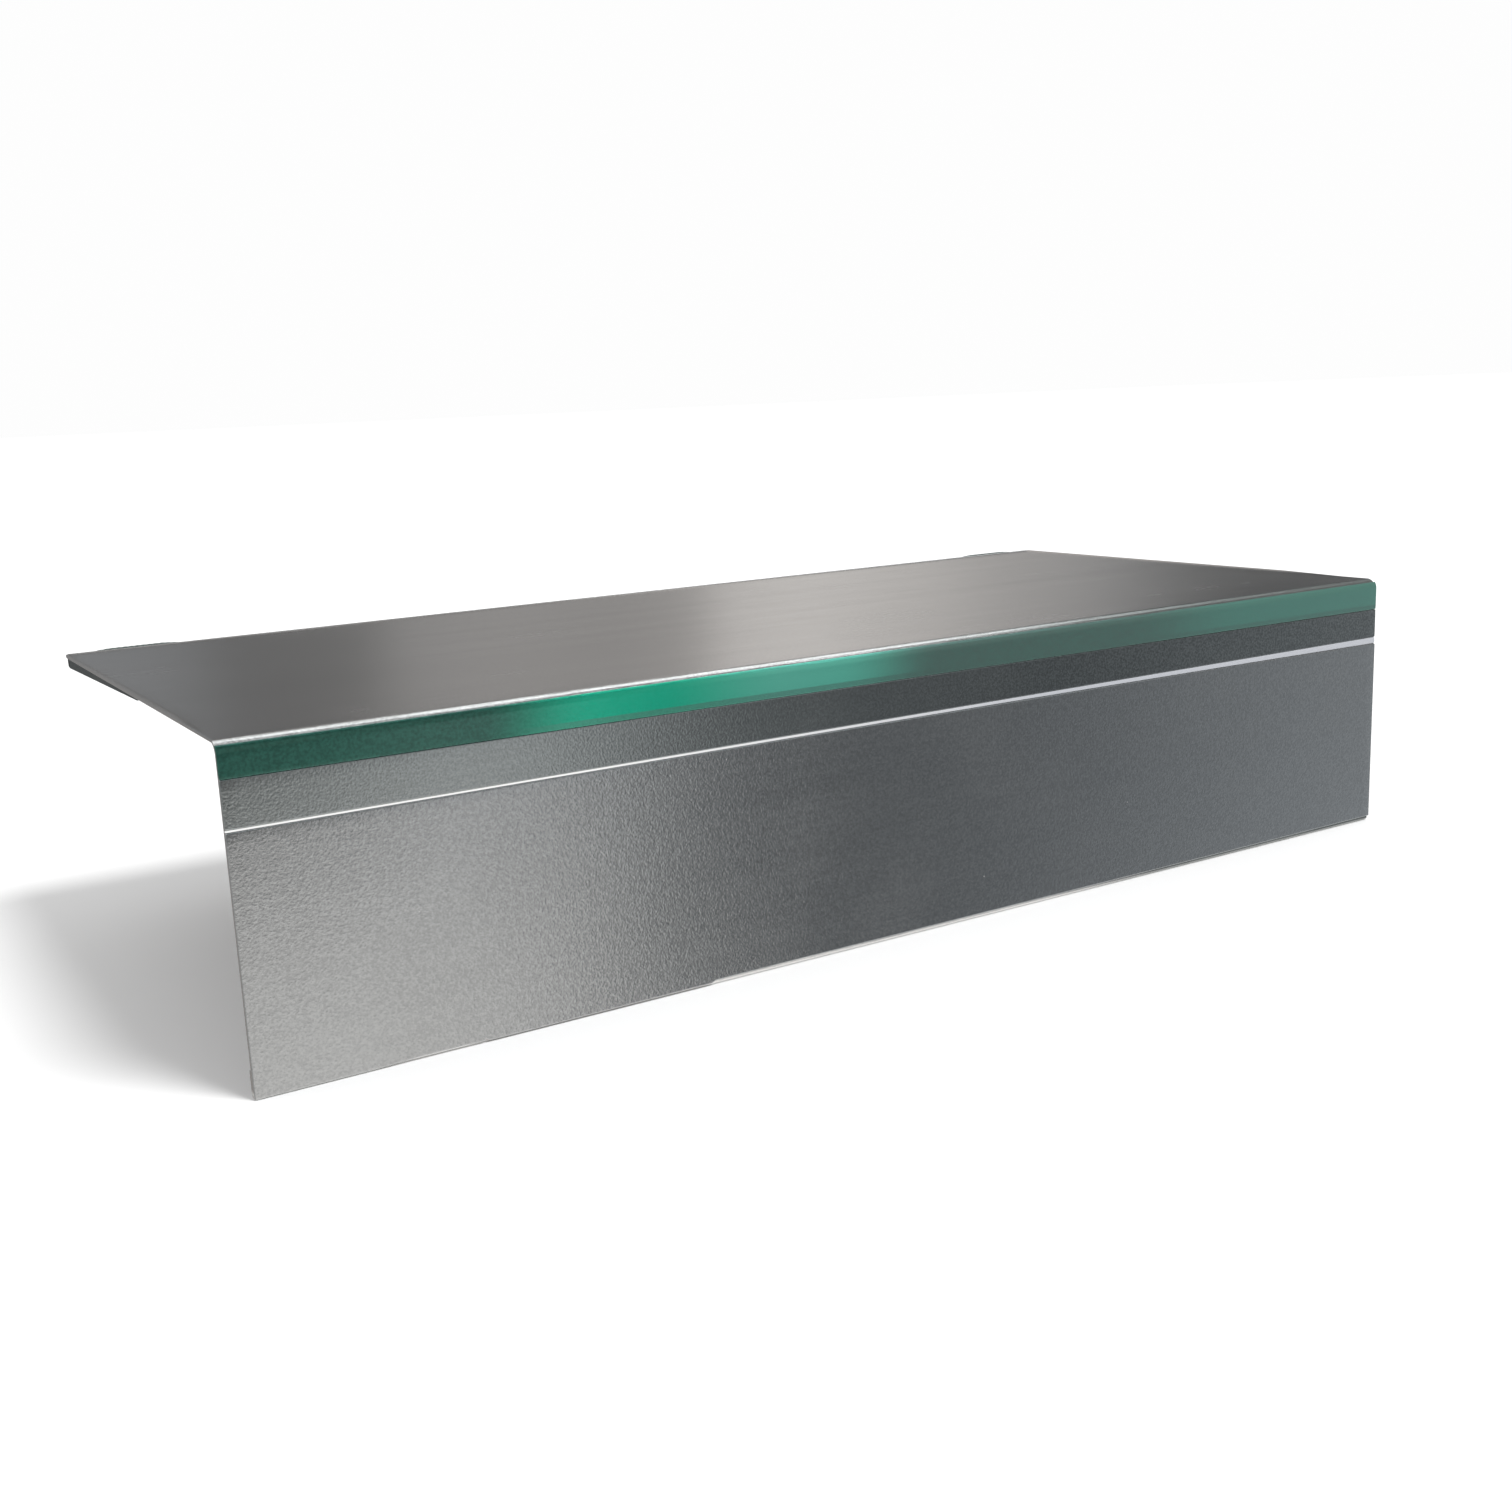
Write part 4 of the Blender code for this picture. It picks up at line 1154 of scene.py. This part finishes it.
# Long lamps overhead: the Y of a lamp's direction, how far its fade and its full light reach, and its colour.
CEILING_LAMPS = ((0.24, 0.26, 0.17, (2.2, 2.35, 2.4)), (-0.46, 0.14, 0.08, (0.9, 1.05, 1.1)))
# How far to the side a lamp begins to fade, and where it ends, as the X of a direction.
LAMP_END, LAMP_FADE = 0.74, 0.60
SEEN_WHITE = 0.985
SUN_PLACE = (0.6, -1.05, 1.7)
FLOOR_REACH = 60.0


def heading_ramp(tree, around, stops):
    """A colour for each heading: stops are (degrees to the right of the front, level, warmth)."""
    made = tree.nodes.new("ShaderNodeValToRGB")
    tree.links.new(around, made.inputs["Fac"])
    made.color_ramp.interpolation = "EASE"
    elements = made.color_ramp.elements
    for extra in range(len(stops) - len(elements)):
        elements.new(extra / len(stops))
    for element, (angle, level, warmth) in zip(elements, stops):
        element.position = (angle + 180) / 360
        element.color = (level * (1 + warmth), level, level * (1 - warmth), 1)
    return made.outputs["Color"]


def make_world():
    """An even white room for the camera and for soft light, with darker and lighter walls that only gloss shows."""
    world = bpy.data.worlds.new("studio")
    bpy.context.scene.world = world
    world.use_nodes = True
    tree = world.node_tree
    tree.nodes.clear()
    direction = tree.nodes.new("ShaderNodeTexCoord").outputs["Generated"]
    split = add(tree, "ShaderNodeSeparateXYZ", {"Vector": direction}).outputs
    back = maths(tree, "MULTIPLY", split["Y"], -1.0)
    turn = maths(tree, "ARCTAN2", split["X"], back)
    around = maths(tree, "ADD", maths(tree, "DIVIDE", turn, 2 * pi), 0.5)
    height = maths(tree, "MULTIPLY", maths(tree, "ARCSINE", split["Z"]), 180 / pi)
    lit = None
    for start, end, stops in ROOM_BANDS:
        band = heading_ramp(tree, around, stops)
        lit = band if lit is None else blend(tree, between(tree, height, start, end), lit, band)
    fade_x = between(tree, maths(tree, "ABSOLUTE", split["X"]), LAMP_END, LAMP_FADE)
    fade_x = maths(tree, "MULTIPLY", fade_x, maths(tree, "GREATER_THAN", height, 0.0))
    for centre, outer, inner, light in CEILING_LAMPS:
        away = maths(tree, "ABSOLUTE", maths(tree, "SUBTRACT", split["Y"], centre))
        lit = blend(tree, maths(tree, "MULTIPLY", fade_x, between(tree, away, outer, inner)), lit, light)
    rays = tree.nodes.new("ShaderNodeLightPath").outputs
    fill = settings().stage.fill
    soft = blend(tree, rays["Is Glossy Ray"], (fill,) * 3, lit)
    seen = blend(tree, rays["Is Camera Ray"], soft, (SEEN_WHITE,) * 3)
    background = add(tree, "ShaderNodeBackground", {"Color": seen, "Strength": 1.0})
    end = tree.nodes.new("ShaderNodeOutputWorld")
    tree.links.new(background.outputs[0], end.inputs["Surface"])


def make_stage():
    stage = settings().stage
    scene = bpy.context.scene
    scene.view_settings.view_transform = "Standard"
    scene.view_settings.look = "None"
    floor_z = SHEET_LOW.z - 0.05 * MM
    corners = [(x * FLOOR_REACH, y * FLOOR_REACH, floor_z) for x, y in ((-1, -1), (1, -1), (1, 1), (-1, 1))]
    mesh = bpy.data.meshes.new("floor")
    mesh.from_pydata(corners, [], [(0, 1, 2, 3)])
    floor = bpy.data.objects.new("floor", mesh)
    scene.collection.objects.link(floor)
    shade = tuple(stage.floor)

    def build(tree):
        place = own_place(tree)
        base = blend(tree, noise(tree, place, 3, 2, 0.5), shaded(shade, 0.99), shade)
        return {"Base Color": base}

    mesh.materials.append(surface("studio_floor", build, Roughness=1.0, Specular_IOR_Level=0.0))
    floor.visible_glossy = False

    light = bpy.data.lights.new("key_light", "SUN")
    light.energy = stage.key
    light.angle = stage.softness
    key = bpy.data.objects.new("key_light", light)
    scene.collection.objects.link(key)
    key.location = SUN_PLACE
    key.rotation_mode = "QUATERNION"
    key.rotation_quaternion = (-key.location).to_track_quat("-Z", "Y")
    key.visible_glossy = False
    make_world()

    camera = bpy.data.objects.new("camera", bpy.data.cameras.new("camera"))
    scene.collection.objects.link(camera)
    camera.data.sensor_width = 36
    camera.data.lens = stage.lens
    camera.data.clip_start, camera.data.clip_end = 0.01, 100
    level_share = cos(stage.dip)
    forward = Vector((sin(stage.heading) * level_share, cos(stage.heading) * level_share, -sin(stage.dip)))
    level_right = forward.cross(Vector((0, 0, 1))).normalized()
    level_up = level_right.cross(forward)
    right = cos(stage.roll) * level_right - sin(stage.roll) * level_up
    up = right.cross(forward)
    turned = Matrix((right, up, -forward)).transposed()
    camera.matrix_world = Matrix.Translation(stage.camera_place) @ turned.to_4x4()
    scene.camera = camera


# --- Operators -----------------------------------------------------------------------------------------------------


class WALLSHELF_OT_sheet(bpy.types.Operator):
    """Make the folded sheet"""

    bl_idname = "wall_shelf.make_sheet"
    bl_label = "Folded sheet"

    def execute(self, context):
        make_shelf_skin()
        return {"FINISHED"}


class WALLSHELF_OT_bands(bpy.types.Operator):
    """Make the bands along the front"""

    bl_idname = "wall_shelf.make_bands"
    bl_label = "Front bands"

    def execute(self, context):
        make_green_band()
        face_band("dark_band", "dark_trim_strip", dark_steel(), "dark_steel")
        face_band("bright_line", "bright_inlay_strip", bright_steel(), "bright_steel", (1, 0))
        face_band("face_panel", "lower_face_panel", grained_steel(), "grained_steel", (0, 1), bent_foot)
        return {"FINISHED"}


class WALLSHELF_OT_bracket(bpy.types.Operator):
    """Make the welded bracket and the caps of its arms"""

    bl_idname = "wall_shelf.make_bracket"
    bl_label = "Wall bracket"

    def execute(self, context):
        make_bracket()
        for side in SIDES:
            make_arm_cap(side)
        return {"FINISHED"}


class WALLSHELF_OT_sleeves(bpy.types.Operator):
    """Make the sleeves, the stiffener, the ribs and their spot welds"""

    bl_idname = "wall_shelf.make_sleeves"
    bl_label = "Sleeves and stiffeners"

    def execute(self, context):
        make_sleeves()
        make_spot_welds()
        return {"FINISHED"}


class WALLSHELF_OT_fixings(bpy.types.Operator):
    """Make the wall screws, washers, nuts and lock screws"""

    bl_idname = "wall_shelf.make_fixings"
    bl_label = "Screws, washers and nuts"

    def execute(self, context):
        for number in range(1, 5):
            make_wall_fixing(number)
        for side in SIDES:
            make_lock(side)
        return {"FINISHED"}


class WALLSHELF_OT_buffers(bpy.types.Operator):
    """Make the rubber buffers"""

    bl_idname = "wall_shelf.make_buffers"
    bl_label = "Rubber buffers"

    def execute(self, context):
        for side in SIDES:
            make_buffer(side)
        return {"FINISHED"}


class WALLSHELF_OT_stage(bpy.types.Operator):
    """Set the floor, the light and the camera"""

    bl_idname = "wall_shelf.make_stage"
    bl_label = "Studio"

    def execute(self, context):
        make_stage()
        return {"FINISHED"}


OPERATORS = (
    WALLSHELF_OT_sheet,
    WALLSHELF_OT_bands,
    WALLSHELF_OT_bracket,
    WALLSHELF_OT_sleeves,
    WALLSHELF_OT_fixings,
    WALLSHELF_OT_buffers,
    WALLSHELF_OT_stage,
)


class WALLSHELF_PT_panel(bpy.types.Panel):
    """The makers of each group of pieces"""

    bl_idname = "WALLSHELF_PT_panel"
    bl_label = "Wall shelf"
    bl_space_type = "VIEW_3D"
    bl_region_type = "UI"
    bl_category = "Wall shelf"

    def draw(self, context):
        for operator in OPERATORS:
            self.layout.operator(operator.bl_idname)


CLASSES = (SheetSizes, FixingSizes, ShelfColours, StageSettings, WallShelfSettings, *OPERATORS, WALLSHELF_PT_panel)


def register():
    for each in CLASSES:
        bpy.utils.register_class(each)
    bpy.types.Scene.wall_shelf = PointerProperty(type=WallShelfSettings)


def unregister():
    del bpy.types.Scene.wall_shelf
    for each in reversed(CLASSES):
        bpy.utils.unregister_class(each)


def main():
    register()
    for operator in OPERATORS:
        family, name = operator.bl_idname.split(".")
        getattr(getattr(bpy.ops, family), name)()


if __name__ == "__main__":
    main()
